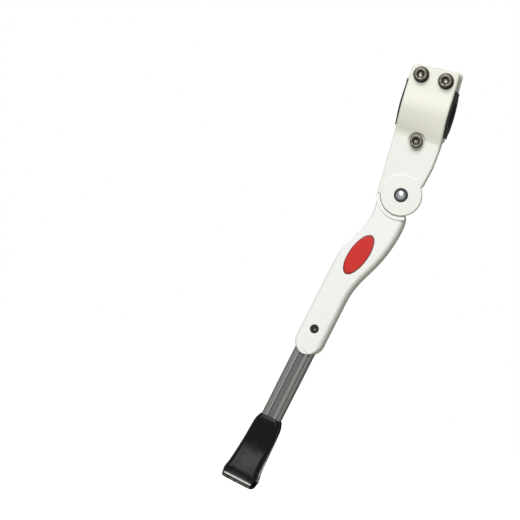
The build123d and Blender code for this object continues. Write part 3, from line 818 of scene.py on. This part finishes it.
class KICKSTAND_OT_castings(bpy.types.Operator):
    """Painted castings: the bracket, the rear jaw and the arm, with softened edges."""

    bl_idname = "kickstand.castings"
    bl_label = "Painted castings"

    # The bracket's front as it is in the frame: the block's face, the hollow under it, the
    # saddle's round, the hollow below that, the neck's face and the spot-face in the neck.
    BLOCK_Y = -14.5 * MM
    BLOCK_HOLLOW = 12.0 * MM
    BLOCK_HOLLOW_Z = 12.96 * MM
    SADDLE = 17.5 * MM
    HOLLOW = 20.0 * MM
    HOLLOW_Y = -28.5 * MM
    HOLLOW_Z = -24.37 * MM
    NECK_Y = -8.5 * MM
    SPOTFACE = 7.2 * MM

    # The new front: the crown where the ramp ends, the run-out's crease and end, the cuts
    # that it takes, and how far behind the old front the casting moves along.
    CROWN_Z = -4.0 * MM
    CREASE_Z = -19.7 * MM
    END_Z = -29.4 * MM
    LOWEST_Z = -36.0 * MM
    CUT_WIDTH = 36.0 * MM
    ROWS = 35
    COLUMNS = 12
    SKIN = 2.3 * MM

    def execute(self, context):
        sizes = context.scene.kickstand_sizes
        colours = context.scene.kickstand_colours
        clamp_paint = cast_paint(
            "clamp_paint", tuple(colours.clamp_paint), tuple(colours.shade_tint_paint)
        )
        arm_paint = cast_paint("arm_paint", tuple(colours.arm_paint), tuple(colours.arm_paint))
        for node, body, paint in (
            ("clamp_bracket", "bracket", clamp_paint),
            ("rear_clamp_jaw", "bracket", clamp_paint),
            ("arm", "swing_arm", arm_paint),
        ):
            piece = merged_copy(node, "cast_" + node)
            round_edges(piece, sizes.casting_edge)
            if node == "clamp_bracket":
                self.run_out_saddle(piece, sizes)
            even_shading(piece)
            finish_piece(piece, body, paint, node)
        return {"FINISHED"}

    def cut_front(self, piece, top):
        """Cuts the front into rows and columns, so that it can take a new form."""
        span = top - self.LOWEST_Z
        heights = [self.LOWEST_Z + span * row / self.ROWS for row in range(self.ROWS)]
        sides = [(i / self.COLUMNS - 0.5) * self.CUT_WIDTH for i in range(1, self.COLUMNS)]
        cuts = [(UP * height, UP) for height in heights]
        cuts += [(Vector((side, 0, 0)), Vector((1, 0, 0))) for side in sides]
        pick(piece)
        for point, normal in cuts:
            for face in piece.data.polygons:
                inside = self.LOWEST_Z - 1.0 * MM < face.center.z < top + 1.0 * MM
                in_front = face.center.y < self.NECK_Y + 0.3 * MM and face.normal.y < -0.3
                face.select = inside and in_front
            bpy.ops.object.mode_set(mode="EDIT")
            bpy.ops.mesh.bisect(plane_co=point, plane_no=normal)
            bpy.ops.object.mode_set(mode="OBJECT")

    def run_out_saddle(self, piece, sizes):
        """Eases the saddle into the block, and out on the neck along a slanting line."""
        top = self.BLOCK_HOLLOW_Z + 0.01 * MM
        self.cut_front(piece, top)
        bolt_low, bolt_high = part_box("lower_clamp_bolt")
        bolt = (bolt_low + bolt_high) / 2
        washer_low, washer_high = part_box("clamp_bolt_washers")
        washer = (washer_high.z - washer_low.z) / 2
        middle = (washer_high.z + washer_low.z) / 2
        block_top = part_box("clamp_bracket")[1].z
        for vertex in piece.data.vertices:
            x, y, z = vertex.co
            if z > top:
                from_bolt = math.hypot(abs(x) - washer_high.x + washer, z - middle)
                in_spotface = from_bolt < washer + 0.45 * MM and y > self.BLOCK_Y + 0.02 * MM
                if y < self.BLOCK_Y + 0.5 * MM and not in_spotface:
                    vertex.co.y -= (block_top - z) * math.tan(sizes.block_lean)
            elif z > self.LOWEST_Z:
                from_bolt = math.hypot(x - bolt.x, z - bolt.z)
                in_spotface = from_bolt < self.SPOTFACE and y > self.NECK_Y + 0.3 * MM
                if y < self.old_front(z) + self.SKIN and not in_spotface:
                    vertex.co.y += self.new_front(x, z, block_top, sizes) - self.old_front(z)

    def old_front(self, z):
        """Depth of the frame's front face at a height."""
        meeting = self.HOLLOW_Z * self.SADDLE / (self.SADDLE + self.HOLLOW)
        upper_meeting = self.BLOCK_HOLLOW_Z * self.SADDLE / (self.SADDLE + self.BLOCK_HOLLOW)
        if z > upper_meeting:
            up = max(0.0, self.BLOCK_HOLLOW_Z - z)
            return self.BLOCK_Y - self.BLOCK_HOLLOW + math.sqrt(self.BLOCK_HOLLOW**2 - up**2)
        if z > meeting:
            return -math.sqrt(self.SADDLE**2 - z**2)
        if z > self.HOLLOW_Z:
            return self.HOLLOW_Y + math.sqrt(self.HOLLOW**2 - (z - self.HOLLOW_Z) ** 2)
        return self.NECK_Y

    def new_front(self, x, z, block_top, sizes):
        """Depth of the ramp under the block, then of the slanting run-out.

        The run-out's slope grows down to the crease, then eases onto the neck.
        """
        start = self.old_front(self.CROWN_Z)
        first = self.CROWN_Z / start
        if z > self.CROWN_Z:
            rise = self.BLOCK_HOLLOW_Z - self.CROWN_Z
            lean = math.tan(sizes.block_lean)
            block = self.BLOCK_Y - (block_top - self.BLOCK_HOLLOW_Z) * lean
            share = min(1.0, (z - self.CROWN_Z) / rise)
            ramp = start + (block - start) * share * share * (3 - 2 * share)
            return ramp - rise * share * (1 - share) * (first * (1 - share) + lean * share)
        slant = math.tan(sizes.saddle_slant)
        crease = self.CREASE_Z - 0.5 * slant * x
        end = self.END_Z - slant * x
        upper = self.CROWN_Z - crease
        lower = crease - end
        steepest = (self.NECK_Y - start - first * upper / 2) / ((upper + lower) / 2)
        if z > crease:
            down = self.CROWN_Z - z
            return start + first * down + (steepest - first) * down * down / (2 * upper)
        left = max(0.0, z - end)
        return self.NECK_Y - steepest * left * left / (2 * lower)


class KICKSTAND_OT_pads(bpy.types.Operator):
    """Rubber pads between the clamp and the stay."""

    bl_idname = "kickstand.pads"
    bl_label = "Clamp pads"

    def execute(self, context):
        rubber = pad_rubber(tuple(context.scene.kickstand_colours.rubber))
        for node in ("front_clamp_pad", "rear_clamp_pad"):
            piece = merged_copy(node, "soft_" + node)
            round_edges(piece, context.scene.kickstand_sizes.pad_edge)
            even_shading(piece)
            finish_piece(piece, "bracket", rubber, node)
        return {"FINISHED"}


class KICKSTAND_OT_hardware(bpy.types.Operator):
    """Knurled socket bolts, washers, nuts and the lock screw."""

    bl_idname = "kickstand.hardware"
    bl_label = "Hardware"

    THREAD_LENGTH = 9.0 * MM
    KNURL_ROWS = 9
    KNURL_DEPTH = 0.16 * MM
    BOLT_SOCKET_DEPTH = 3.2 * MM
    SCREW_PITCH = 0.6 * MM
    SCREW_POINTS = 72
    SCREW_SOCKET_DEPTH = 1.8 * MM
    SMOOTH_BELOW = 32

    def execute(self, context):
        sizes = context.scene.kickstand_sizes
        nickel = bolt_nickel(tuple(context.scene.kickstand_colours.bolts))
        # Dark steel is painted shade in sockets, on knurls and washers; socket floors get a painted
        # highlight.
        black = shade_painted_steel()
        metals = (nickel, black, socket_highlight_steel())
        low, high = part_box("lower_clamp_bolt")
        radius = (high.x - low.x) / 2
        middle = (low + high) / 2
        lower = self.socket_bolt("lower_bolt", radius, high.y - low.y, sizes)
        self.fit(lower, (middle.x, low.y, middle.z), 20, "bracket", "lower_clamp_bolt", metals)
        self.plate_and_paint_shade(lower, low.y, radius, sizes.bolt_socket)

        low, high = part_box("upper_clamp_bolts")
        height = (low.z + high.z) / 2
        left = self.socket_bolt("upper_bolt_left", radius, high.y - low.y, sizes)
        pick(left)
        bpy.ops.object.duplicate()
        right = context.view_layer.objects.active
        right.name = "upper_bolt_right"
        right.data.name = "upper_bolt_right"
        for bolt, x, turn in ((left, low.x + radius, 8), (right, high.x - radius, 43)):
            self.fit(bolt, (x, low.y, height), turn, "bracket", "upper_clamp_bolts", metals)
            self.plate_and_paint_shade(bolt, low.y, radius, sizes.bolt_socket)

        # The washers' dark steel is painted shade round each bolt head.
        for node, metal in (("clamp_bolt_washers", black), ("clamp_nuts", nickel)):
            piece = merged_copy(node, "soft_" + node)
            round_edges(piece, sizes.hardware_edge)
            even_shading(piece)
            finish_piece(piece, "bracket", metal, node)

        # The lock screw's face is painted shade, its socket floor a painted highlight.
        low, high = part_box("leg_lock_screw")
        middle = (low + high) / 2
        screw = self.lock_screw((high.x - low.x) / 2, high.y - low.y, sizes)
        self.fit(screw, (middle.x, low.y, middle.z), 11, "swing_arm", "leg_lock_screw", metals)
        self.plate_and_paint_shade(screw, low.y, 0.0, sizes.screw_socket)
        return {"FINISHED"}

    def fit(self, piece, spot, degrees, body, node, metals):
        """Stands a bolt or screw at its spot, with the three metals that it shows."""
        settle(piece, facing_front(spot, math.radians(degrees)))
        finish_piece(piece, body, metals[0], node)
        for metal in metals[1:]:
            piece.data.materials.append(metal)

    def plate_and_paint_shade(self, piece, face_depth, radius, flats):
        """Leaves plating on a ring of the face, paints highlight on the socket's floor, shade on
        the rest.
        """
        corners = [Vector(corner) for corner in piece.bound_box]
        middle = (corners[0] + corners[6]) / 2
        for face in piece.data.polygons:
            out = math.hypot(face.center.x - middle.x, face.center.z - middle.z)
            on_face = face.center.y < face_depth + 0.1 * MM
            plated = on_face and flats * 0.55 < out < radius - 0.6 * MM
            on_floor = face.normal.y < -0.5 and out < flats * 0.3
            face.material_index = 0 if plated else 2 if on_floor else 1

    def socket_rings(self, rim, flats, depth, count):
        """Rings of a hex socket, from the rim of a flat face down to its drilled floor."""
        reach = flats / math.cos(math.radians(30))
        floor = -depth - 0.1 * MM
        return [
            circle(rim, 0.0, count),
            circle(reach / 2 + 0.12 * MM, 0.0, count),
            hexagon(flats, -0.3 * MM, count),
            hexagon(flats, -depth, count),
            circle(flats * 0.3, floor, count),
            circle(0.2 * MM, floor - flats * 0.03, count),
        ]

    def socket_bolt(self, name, radius, length, sizes):
        """A socket-head bolt with its head's face at zero and its thread below."""
        count = 2 * sizes.knurl_ridges
        head = sizes.bolt_head
        shank = sizes.bolt_shank
        root = shank * 0.82
        pitch = sizes.thread_pitch
        steps = [(shank * 0.55, -length), (shank * 0.8, -length)]
        height = -length + 0.5 * MM
        while height < -length + self.THREAD_LENGTH:
            steps.append((root, height))
            steps += [(shank, height + pitch * share) for share in (0.42, 0.58)]
            height += pitch
        steps += [
            (root, height),
            (shank, height + pitch * 0.4),
            (shank, -head - 0.3 * MM),
            (shank + 0.3 * MM, -head),
            (radius - 0.35 * MM, -head),
            (radius - 0.12 * MM, -head + 0.15 * MM),
        ]
        rings = [circle(*step, count) for step in steps]
        for row in range(self.KNURL_ROWS):
            level = -head + 0.45 * MM + (head - 1.6 * MM) * row / (self.KNURL_ROWS - 1)
            rings.append(knurl(radius, self.KNURL_DEPTH, level, count, row % 2))
        for inset, drop in ((0.1, 0.85), (0.1, 0.5), (0.24, 0.18), (0.55, 0.0)):
            rings.append(circle(radius - inset * MM, -drop * MM, count))
        rim = radius - 0.95 * MM
        rings += self.socket_rings(rim, sizes.bolt_socket, self.BOLT_SOCKET_DEPTH, count)
        bolt = ring_shell(name, rings)
        smooth(bolt, self.SMOOTH_BELOW)
        return bolt

    def lock_screw(self, radius, length, sizes):
        """A headless hex-socket screw with a bevelled point."""
        count = self.SCREW_POINTS
        crest = radius - 0.02 * MM
        root = radius - 0.35 * MM
        steps = [(radius * 0.4, -length), (radius - 1.1 * MM, -length)]
        height = -length + 1.1 * MM
        while height < -0.9 * MM:
            steps += [(crest, height), (root, height + 0.3 * MM)]
            height += self.SCREW_PITCH
        steps += [(crest, -0.55 * MM), (radius - 0.12 * MM, -0.3 * MM), (radius - 0.5 * MM, 0.0)]
        rings = [circle(*step, count) for step in steps]
        rim = radius - 0.65 * MM
        rings += self.socket_rings(rim, sizes.screw_socket, self.SCREW_SOCKET_DEPTH, count)
        screw = ring_shell("lock_screw", rings)
        smooth(screw, self.SMOOTH_BELOW)
        return screw


class KICKSTAND_OT_pivot(bpy.types.Operator):
    """Rivet, washers and bush of the pivot, and the latch behind it."""

    bl_idname = "kickstand.pivot"
    bl_label = "Pivot and latch"

    def execute(self, context):
        steel = rivet_steel(tuple(context.scene.kickstand_colours.rivet))
        for material, nodes in (
            (steel, ("pivot_rivet", "rivet_rear_washer")),
            (bearing_bronze(), ("pivot_bush", "pivot_wear_washer")),
            (spring_steel(), ("latch_plunger", "latch_spring")),
        ):
            for node in nodes:
                finish_node(node, material)
        return {"FINISHED"}


class KICKSTAND_OT_oval(bpy.types.Operator):
    """Bare red oval in the arm."""

    bl_idname = "kickstand.oval"
    bl_label = "Oval inlay"

    COUNT = 96
    # Share of the full oval and drop below its top in millimetres, from the rim inwards.
    RIM = ((1.0, 0.55), (0.985, 0.33), (0.95, 0.2), (0.9, 0.14))
    DOME = (0.8, 0.65, 0.5, 0.33, 0.16, 0.04)
    DOME_RISE = 0.14 * MM

    def execute(self, context):
        sizes = context.scene.kickstand_sizes
        low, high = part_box("oval_inlay")
        middle = (low + high) / 2
        steps = [(1.0, low.y - high.y)] + [(share, -drop * MM) for share, drop in self.RIM]
        steps += [(share, -self.DOME_RISE * share * share) for share in self.DOME]
        rings = []
        for share, height in steps:
            inset = (1.0 - share) * sizes.oval_width / 2
            stretch = 1.0 if share > 0.85 else sizes.oval_length / sizes.oval_width
            half_width = sizes.oval_width / 2 - inset
            half_length = sizes.oval_length / 2 - inset * stretch
            unit = circle(1.0, height, self.COUNT)
            rings.append([Vector((p.x * half_width, p.y * half_length, p.z)) for p in unit])
        oval = ring_shell("domed_oval", rings)
        smooth(oval, 50)
        settle(oval, facing_front((middle.x, low.y, middle.z), -sizes.oval_lean))
        enamel = red_enamel(tuple(context.scene.kickstand_colours.inlay), sizes)
        finish_piece(oval, "swing_arm", enamel, "oval_inlay")
        return {"FINISHED"}


class KICKSTAND_OT_leg(bpy.types.Operator):
    """Brushed sliding leg."""

    bl_idname = "kickstand.leg"
    bl_label = "Leg"

    CORNER = 2.2 * MM
    CORNER_STEPS = 8
    END_BEVEL = 0.3 * MM
    END_SHARE = 0.955
    # Place across the front and rise above it, in millimetres: bead, slot, bead and groove.
    FRONT = (
        (-3.75, 0.0), (-3.5, 0.1), (-3.2, 0.16), (-2.95, 0.08), (-2.8, -0.15), (-2.7, -0.8),
        (-2.0, -0.78), (-1.1, -0.72), (-0.2, -0.66), (0.7, -0.58), (1.4, -0.5), (1.75, -0.42),
        (1.87, -0.1), (2.0, 0.1), (2.2, 0.16), (2.45, 0.1), (2.7, 0.0),
        (4.25, 0.0), (4.42, -0.12), (4.5, -0.5), (5.12, -0.5), (5.2, -0.12), (5.36, 0.0),
    )

    def execute(self, context):
        sizes = context.scene.kickstand_sizes
        low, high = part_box("leg")
        middle = (low + high) / 2
        length = (high.z - low.z - abs(LEG_DOWN.x) * sizes.leg_width) / abs(LEG_DOWN.z)
        section = self.section(sizes.leg_width / 2, sizes.leg_depth / 2)
        trimmed = [p * self.END_SHARE for p in section]
        rings = []
        for outline, height in (
            (trimmed, -length / 2),
            (section, -length / 2 + self.END_BEVEL),
            (section, length / 2 - self.END_BEVEL),
            (trimmed, length / 2),
        ):
            rings.append([Vector((p.x, p.y, height)) for p in outline])
        leg = ring_shell("drawn_leg", rings)
        smooth(leg, 28)
        settle(leg, leg_matrix(middle))
        metal = brushed_metal(tuple(context.scene.kickstand_colours.leg))
        finish_piece(leg, "sliding_leg", metal, "leg")
        return {"FINISHED"}

    def section(self, half_width, half_depth):
        """Outline of the drawn leg, with its beads and grooves in front."""
        points = []
        for sx, sy, start in ((1, 1, 0), (-1, 1, 90), (-1, -1, 180), (1, -1, 270)):
            # The front comes between the third corner and the last.
            if start == 270:
                points += [Vector((x * MM, -half_depth - rise * MM)) for x, rise in self.FRONT]
            for step in range(self.CORNER_STEPS + 1):
                angle = math.radians(start + step * 90 / self.CORNER_STEPS)
                x = sx * (half_width - self.CORNER) + self.CORNER * math.cos(angle)
                y = sy * (half_depth - self.CORNER) + self.CORNER * math.sin(angle)
                points.append(Vector((x, y)))
        return points


class KICKSTAND_OT_foot(bpy.types.Operator):
    """Glossy black foot."""

    bl_idname = "kickstand.foot"
    bl_label = "Foot"

    # In millimetres from the middle of the sole: the leg's middle, across and back.
    SHIFT_X = 0.5
    SHIFT_Y = 2.4
    # Heights of the outer rings, close together at the lip and the top.
    HEIGHTS = (
        0.0, 0.12, 0.25, 0.42, 0.6, 0.75, 0.9, 1.0, 1.1, 1.22, 1.35, 1.48, 1.6, 1.7, 1.8, 1.9,
        2.0, 2.1, 2.2, 2.3, 2.4, 2.55, 2.7, 2.9, 3.1, 3.35, 3.6, 3.85, 4.1, 4.35, 4.6, 5.2,
        5.8, 6.5, 7.2, 8.0, 8.8, 9.5, 10.2, 11.0, 12.0, 13.0, 14.5, 16.0, 18.0, 20.0, 22.0,
        24.0, 25.5, 27.0, 28.5, 30.0, 31.5, 33.3, 36.0, 39.0, 42.0, 44.5, 47.0, 48.6, 49.5,
        50.2, 51.0, 51.6, 52.2, 52.8, 53.3, 53.8, 54.3,
    )
    # Pairs of a height and the foot's width, front and back there.
    WIDTHS = (
        (0.0, 23.2), (0.25, 24.2), (0.7, 24.9), (1.3, 25.3), (2.2, 25.6), (3.4, 26.1),
        (5.0, 26.7), (6.1, 27.1), (7.0, 27.0), (8.3, 26.6), (10.5, 25.6), (13.0, 24.8),
        (17.0, 24.1), (19.3, 23.8), (26.0, 23.2), (33.3, 22.5), (42.0, 21.8), (47.0, 21.2),
        (48.6, 20.8), (50.2, 20.0), (51.6, 19.0), (52.8, 18.1), (53.8, 17.4), (54.3, 17.0),
    )
    FRONTS = (
        (0.0, -9.6), (0.25, -10.1), (0.6, -10.5), (0.9, -10.7), (1.1, -10.74), (1.35, -10.7),
        (1.6, -10.6), (1.8, -10.5), (2.0, -10.5), (2.2, -10.66), (2.4, -10.72), (2.7, -10.7),
        (3.1, -10.58), (3.6, -10.42), (4.1, -10.26), (4.6, -10.14), (5.2, -10.07), (6.5, -10.0),
        (8.0, -9.9), (9.5, -9.72), (11.0, -9.42), (13.0, -8.93), (16.0, -8.15), (20.0, -7.12),
        (24.0, -6.17), (27.0, -5.56), (30.0, -5.08), (33.3, -4.73), (36.0, -4.57), (39.0, -4.49),
        (42.0, -4.46), (47.0, -4.44), (49.5, -4.42), (51.5, -4.25), (52.8, -4.05), (53.8, -3.8),
        (54.3, -3.55),
    )
    BACKS = (
        (0.0, 8.2), (0.7, 9.4), (2.2, 10.2), (6.1, 10.6), (12.0, 10.5), (19.3, 10.1),
        (33.3, 9.55), (47.0, 9.4), (51.5, 9.2), (53.8, 8.8), (54.3, 8.6),
    )
    # Rings of the leg's socket: share of the way from the rim to the leg, and height.
    SOCKET = ((0.45, 54.5), (1.0, 54.2), (1.0, 50.0), (1.0, 21.0))
    SOCKET_PLAY = 0.04
    SOCKET_CORNER = 2.2
    LARGEST_CORNER = 4.2
    # Heights over which the foot drifts under the leg, and the dish begins and ends. The dish
    # fades out over the last range, in shares of the half width.
    DRIFT = (8.0, 40.0)
    DISH_START = (4.2, 8.0)
    DISH_END = (42.0, 48.0)
    DISH_EDGE = (0.3, 0.85)
    COUNT = 112

    def execute(self, context):
        sizes = context.scene.kickstand_sizes
        rings = [self.outline(height, sizes) for height in self.HEIGHTS]
        rim = rings[-1]
        play = self.SOCKET_PLAY * MM
        socket = rounded_box(
            sizes.leg_width + play, sizes.leg_depth + play, self.SOCKET_CORNER * MM, self.COUNT
        )
        for share, height in self.SOCKET:
            ring = []
            for outer, inner in zip(rim, socket):
                x = outer.x + (inner.x + self.SHIFT_X * MM - outer.x) * share
                y = outer.y + (inner.y + self.SHIFT_Y * MM - outer.y) * share
                ring.append(Vector((x, y, height * MM)))
            rings.append(ring)
        foot = ring_shell("moulded_foot", rings)
        subdivide_smooth(foot, 1)
        smooth(foot, 50)
        settle(foot, leg_matrix(SOLE))
        black = black_moulding(tuple(context.scene.kickstand_colours.moulding))
        finish_piece(foot, "sliding_leg", black, "foot")
        return {"FINISHED"}

    def outline(self, height, sizes):
        """One ring of the foot at a height above the sole, dished in front."""
        width = along_curve(self.WIDTHS, height)
        front = along_curve(self.FRONTS, height)
        back = along_curve(self.BACKS, height)
        drift = self.SHIFT_X * eased(height, *self.DRIFT)
        corner = min(self.LARGEST_CORNER, (back - front) * 0.3)
        dish = sizes.foot_dish * eased(height, *self.DISH_START)
        dish *= 1.0 - eased(height, *self.DISH_END)
        points = []
        for point in rounded_box(width * MM, (back - front) * MM, corner * MM, self.COUNT):
            x = point.x + drift * MM
            y = point.y + (front + back) / 2 * MM
            if point.y < 0:
                edge = abs(point.x) / (width * MM / 2)
                y += dish * (1.0 - eased(edge, *self.DISH_EDGE))
            points.append(Vector((x, y, height * MM)))
        return points


class KICKSTAND_OT_stage(bpy.types.Operator):
    """Floor, lamps, dark cards, world and camera."""

    bl_idname = "kickstand.stage"
    bl_label = "Stage"

    # The stand's middle, and the picture's middle in millimetres to the right, up and ahead.
    MIDDLE = Vector((-20.0, 0.0, -120.0)) * MM
    PICTURE = (-124.2, -111.9, -6.0)
    SENSOR = 36.0
    FLOOR_SIZE = 6.0
    CARD_FACES = 72
    CARD_HEIGHT = 0.9
    APRON_SIZE = 0.34
    APRON_SPOT = (0.07, 0.155, FLOOR + 0.5 * MM)

    def execute(self, context):
        stage = context.scene.kickstand_stage
        deselect()
        floor = self.sheet("studio_floor", self.FLOOR_SIZE, (0.0, 0.0, FLOOR))
        floor.data.materials.append(pale_floor())
        right = Vector((math.cos(stage.yaw), math.sin(stage.yaw), 0.0))
        ahead = Vector((-math.sin(stage.yaw), math.cos(stage.yaw), 0.0))
        self.photo_camera(context, stage, right, ahead)
        for name, direction, distance, size, power in (
            ("key_lamp", UP * 0.56 - right * 0.30 - ahead * 0.85, 3.6, 2.2, stage.key_power),
            ("front_lamp", UP * 0.1 + right * 0.08 - ahead, 1.5, 0.3, stage.front_power),
            ("back_lamp", UP * 0.6 - right * 0.35 + ahead, 2.6, 1.6, stage.back_power),
        ):
            self.lamp(name, direction.normalized(), distance, size, power)
        self.dark_cards(stage)
        self.white_world(context, stage)
        context.scene.view_settings.view_transform = "Standard"
        return {"FINISHED"}

    def sheet(self, name, size, spot):
        """A level square sheet."""
        bpy.ops.mesh.primitive_plane_add(size=size, location=spot)
        sheet = bpy.context.view_layer.objects.active
        sheet.name = name
        bpy.ops.object.transform_apply()
        return sheet

    def photo_camera(self, context, stage, right, ahead):
        """The camera, turned and rolled as the stand is seen."""
        image_right = math.cos(stage.roll) * right + math.sin(stage.roll) * UP
        image_up = math.cos(stage.roll) * UP - math.sin(stage.roll) * right
        across, height, depth = (part * MM for part in self.PICTURE)
        centre = across * image_right + height * image_up + depth * ahead
        bpy.ops.object.camera_add()
        camera = context.view_layer.objects.active
        camera.name = "photo_camera"
        turned = Matrix((image_right, image_up, -ahead)).transposed().to_4x4()
        camera.matrix_world = Matrix.Translation(centre - stage.distance * ahead) @ turned
        camera.data.sensor_width = self.SENSOR
        camera.data.lens = self.SENSOR * stage.distance / stage.view_width
        context.scene.camera = camera

    def lamp(self, name, aim, distance, size, power):
        """A square lamp that faces the stand's middle from a direction."""
        bpy.ops.object.light_add(type="AREA", location=self.MIDDLE + aim * distance)
        lamp = bpy.context.view_layer.objects.active
        lamp.name = name
        lamp.rotation_euler = aim.to_track_quat("Z", "Y").to_euler()
        lamp.data.energy = power
        lamp.data.size = size

    def dark_cards(self, stage):
        """A dark card round the rear and a dark sheet on the floor, seen in reflections alone."""
        bpy.ops.mesh.primitive_cylinder_add(
            vertices=self.CARD_FACES,
            radius=stage.card_radius,
            depth=self.CARD_HEIGHT,
            end_fill_type="NOTHING",
            location=self.MIDDLE,
        )
        card = bpy.context.view_layer.objects.active
        card.name = "dark_card"
        bpy.ops.object.transform_apply()
        bpy.ops.object.mode_set(mode="EDIT")
        bpy.ops.mesh.select_all(action="DESELECT")
        bpy.ops.object.mode_set(mode="OBJECT")
        for face in card.data.polygons:
            out = face.center - self.MIDDLE
            angle = math.atan2(out.x, -out.y) % math.tau
            face.select = not stage.card_start < angle < stage.card_end
        bpy.ops.object.mode_set(mode="EDIT")
        bpy.ops.mesh.delete(type="FACE")
        bpy.ops.object.mode_set(mode="OBJECT")
        apron = self.sheet("dark_apron", self.APRON_SIZE, self.APRON_SPOT)
        black = dark_card()
        for flag in (card, apron):
            flag.visible_camera = False
            flag.visible_diffuse = False
            flag.visible_shadow = False
            flag.data.materials.append(black)

    def white_world(self, context, stage):
        """White where it is seen, and an even light on everything else."""
        world = bpy.data.worlds.new("white_studio")
        context.scene.world = world
        world.use_nodes = True
        background = world.node_tree.nodes["Background"]
        background.inputs["Color"].default_value = (1.0, 1.0, 1.0, 1.0)
        level = spread(world, seen_share(world), stage.ambient, 1.0)
        world.node_tree.links.new(level, background.inputs["Strength"])


class KICKSTAND_PT_sidebar(bpy.types.Panel):
    """Sidebar panel that lists the pieces and their settings."""

    bl_idname = "KICKSTAND_PT_sidebar"
    bl_label = "Kickstand"
    bl_space_type = "VIEW_3D"
    bl_region_type = "UI"
    bl_category = "Kickstand"

    def draw(self, context):
        layout = self.layout
        for group in (
            context.scene.kickstand_sizes,
            context.scene.kickstand_colours,
            context.scene.kickstand_stage,
        ):
            column = layout.column(align=True)
            for name in group.__annotations__:
                column.prop(group, name)
        for operator in OPERATORS:
            layout.operator(operator.bl_idname)


OPERATORS = (
    KICKSTAND_OT_castings,
    KICKSTAND_OT_pads,
    KICKSTAND_OT_hardware,
    KICKSTAND_OT_pivot,
    KICKSTAND_OT_oval,
    KICKSTAND_OT_leg,
    KICKSTAND_OT_foot,
    KICKSTAND_OT_stage,
)
GROUPS = {
    "kickstand_sizes": KickstandSizes,
    "kickstand_colours": KickstandColours,
    "kickstand_stage": KickstandStage,
}


def register():
    for cls in (*GROUPS.values(), *OPERATORS, KICKSTAND_PT_sidebar):
        bpy.utils.register_class(cls)
    for name, group in GROUPS.items():
        setattr(bpy.types.Scene, name, bpy.props.PointerProperty(type=group))


def unregister():
    for name in GROUPS:
        delattr(bpy.types.Scene, name)
    for cls in (KICKSTAND_PT_sidebar, *reversed(OPERATORS), *GROUPS.values()):
        bpy.utils.unregister_class(cls)


def main():
    register()
    for operator in OPERATORS:
        group, name = operator.bl_idname.split(".")
        getattr(getattr(bpy.ops, group), name)()


if __name__ == "__main__":
    main()
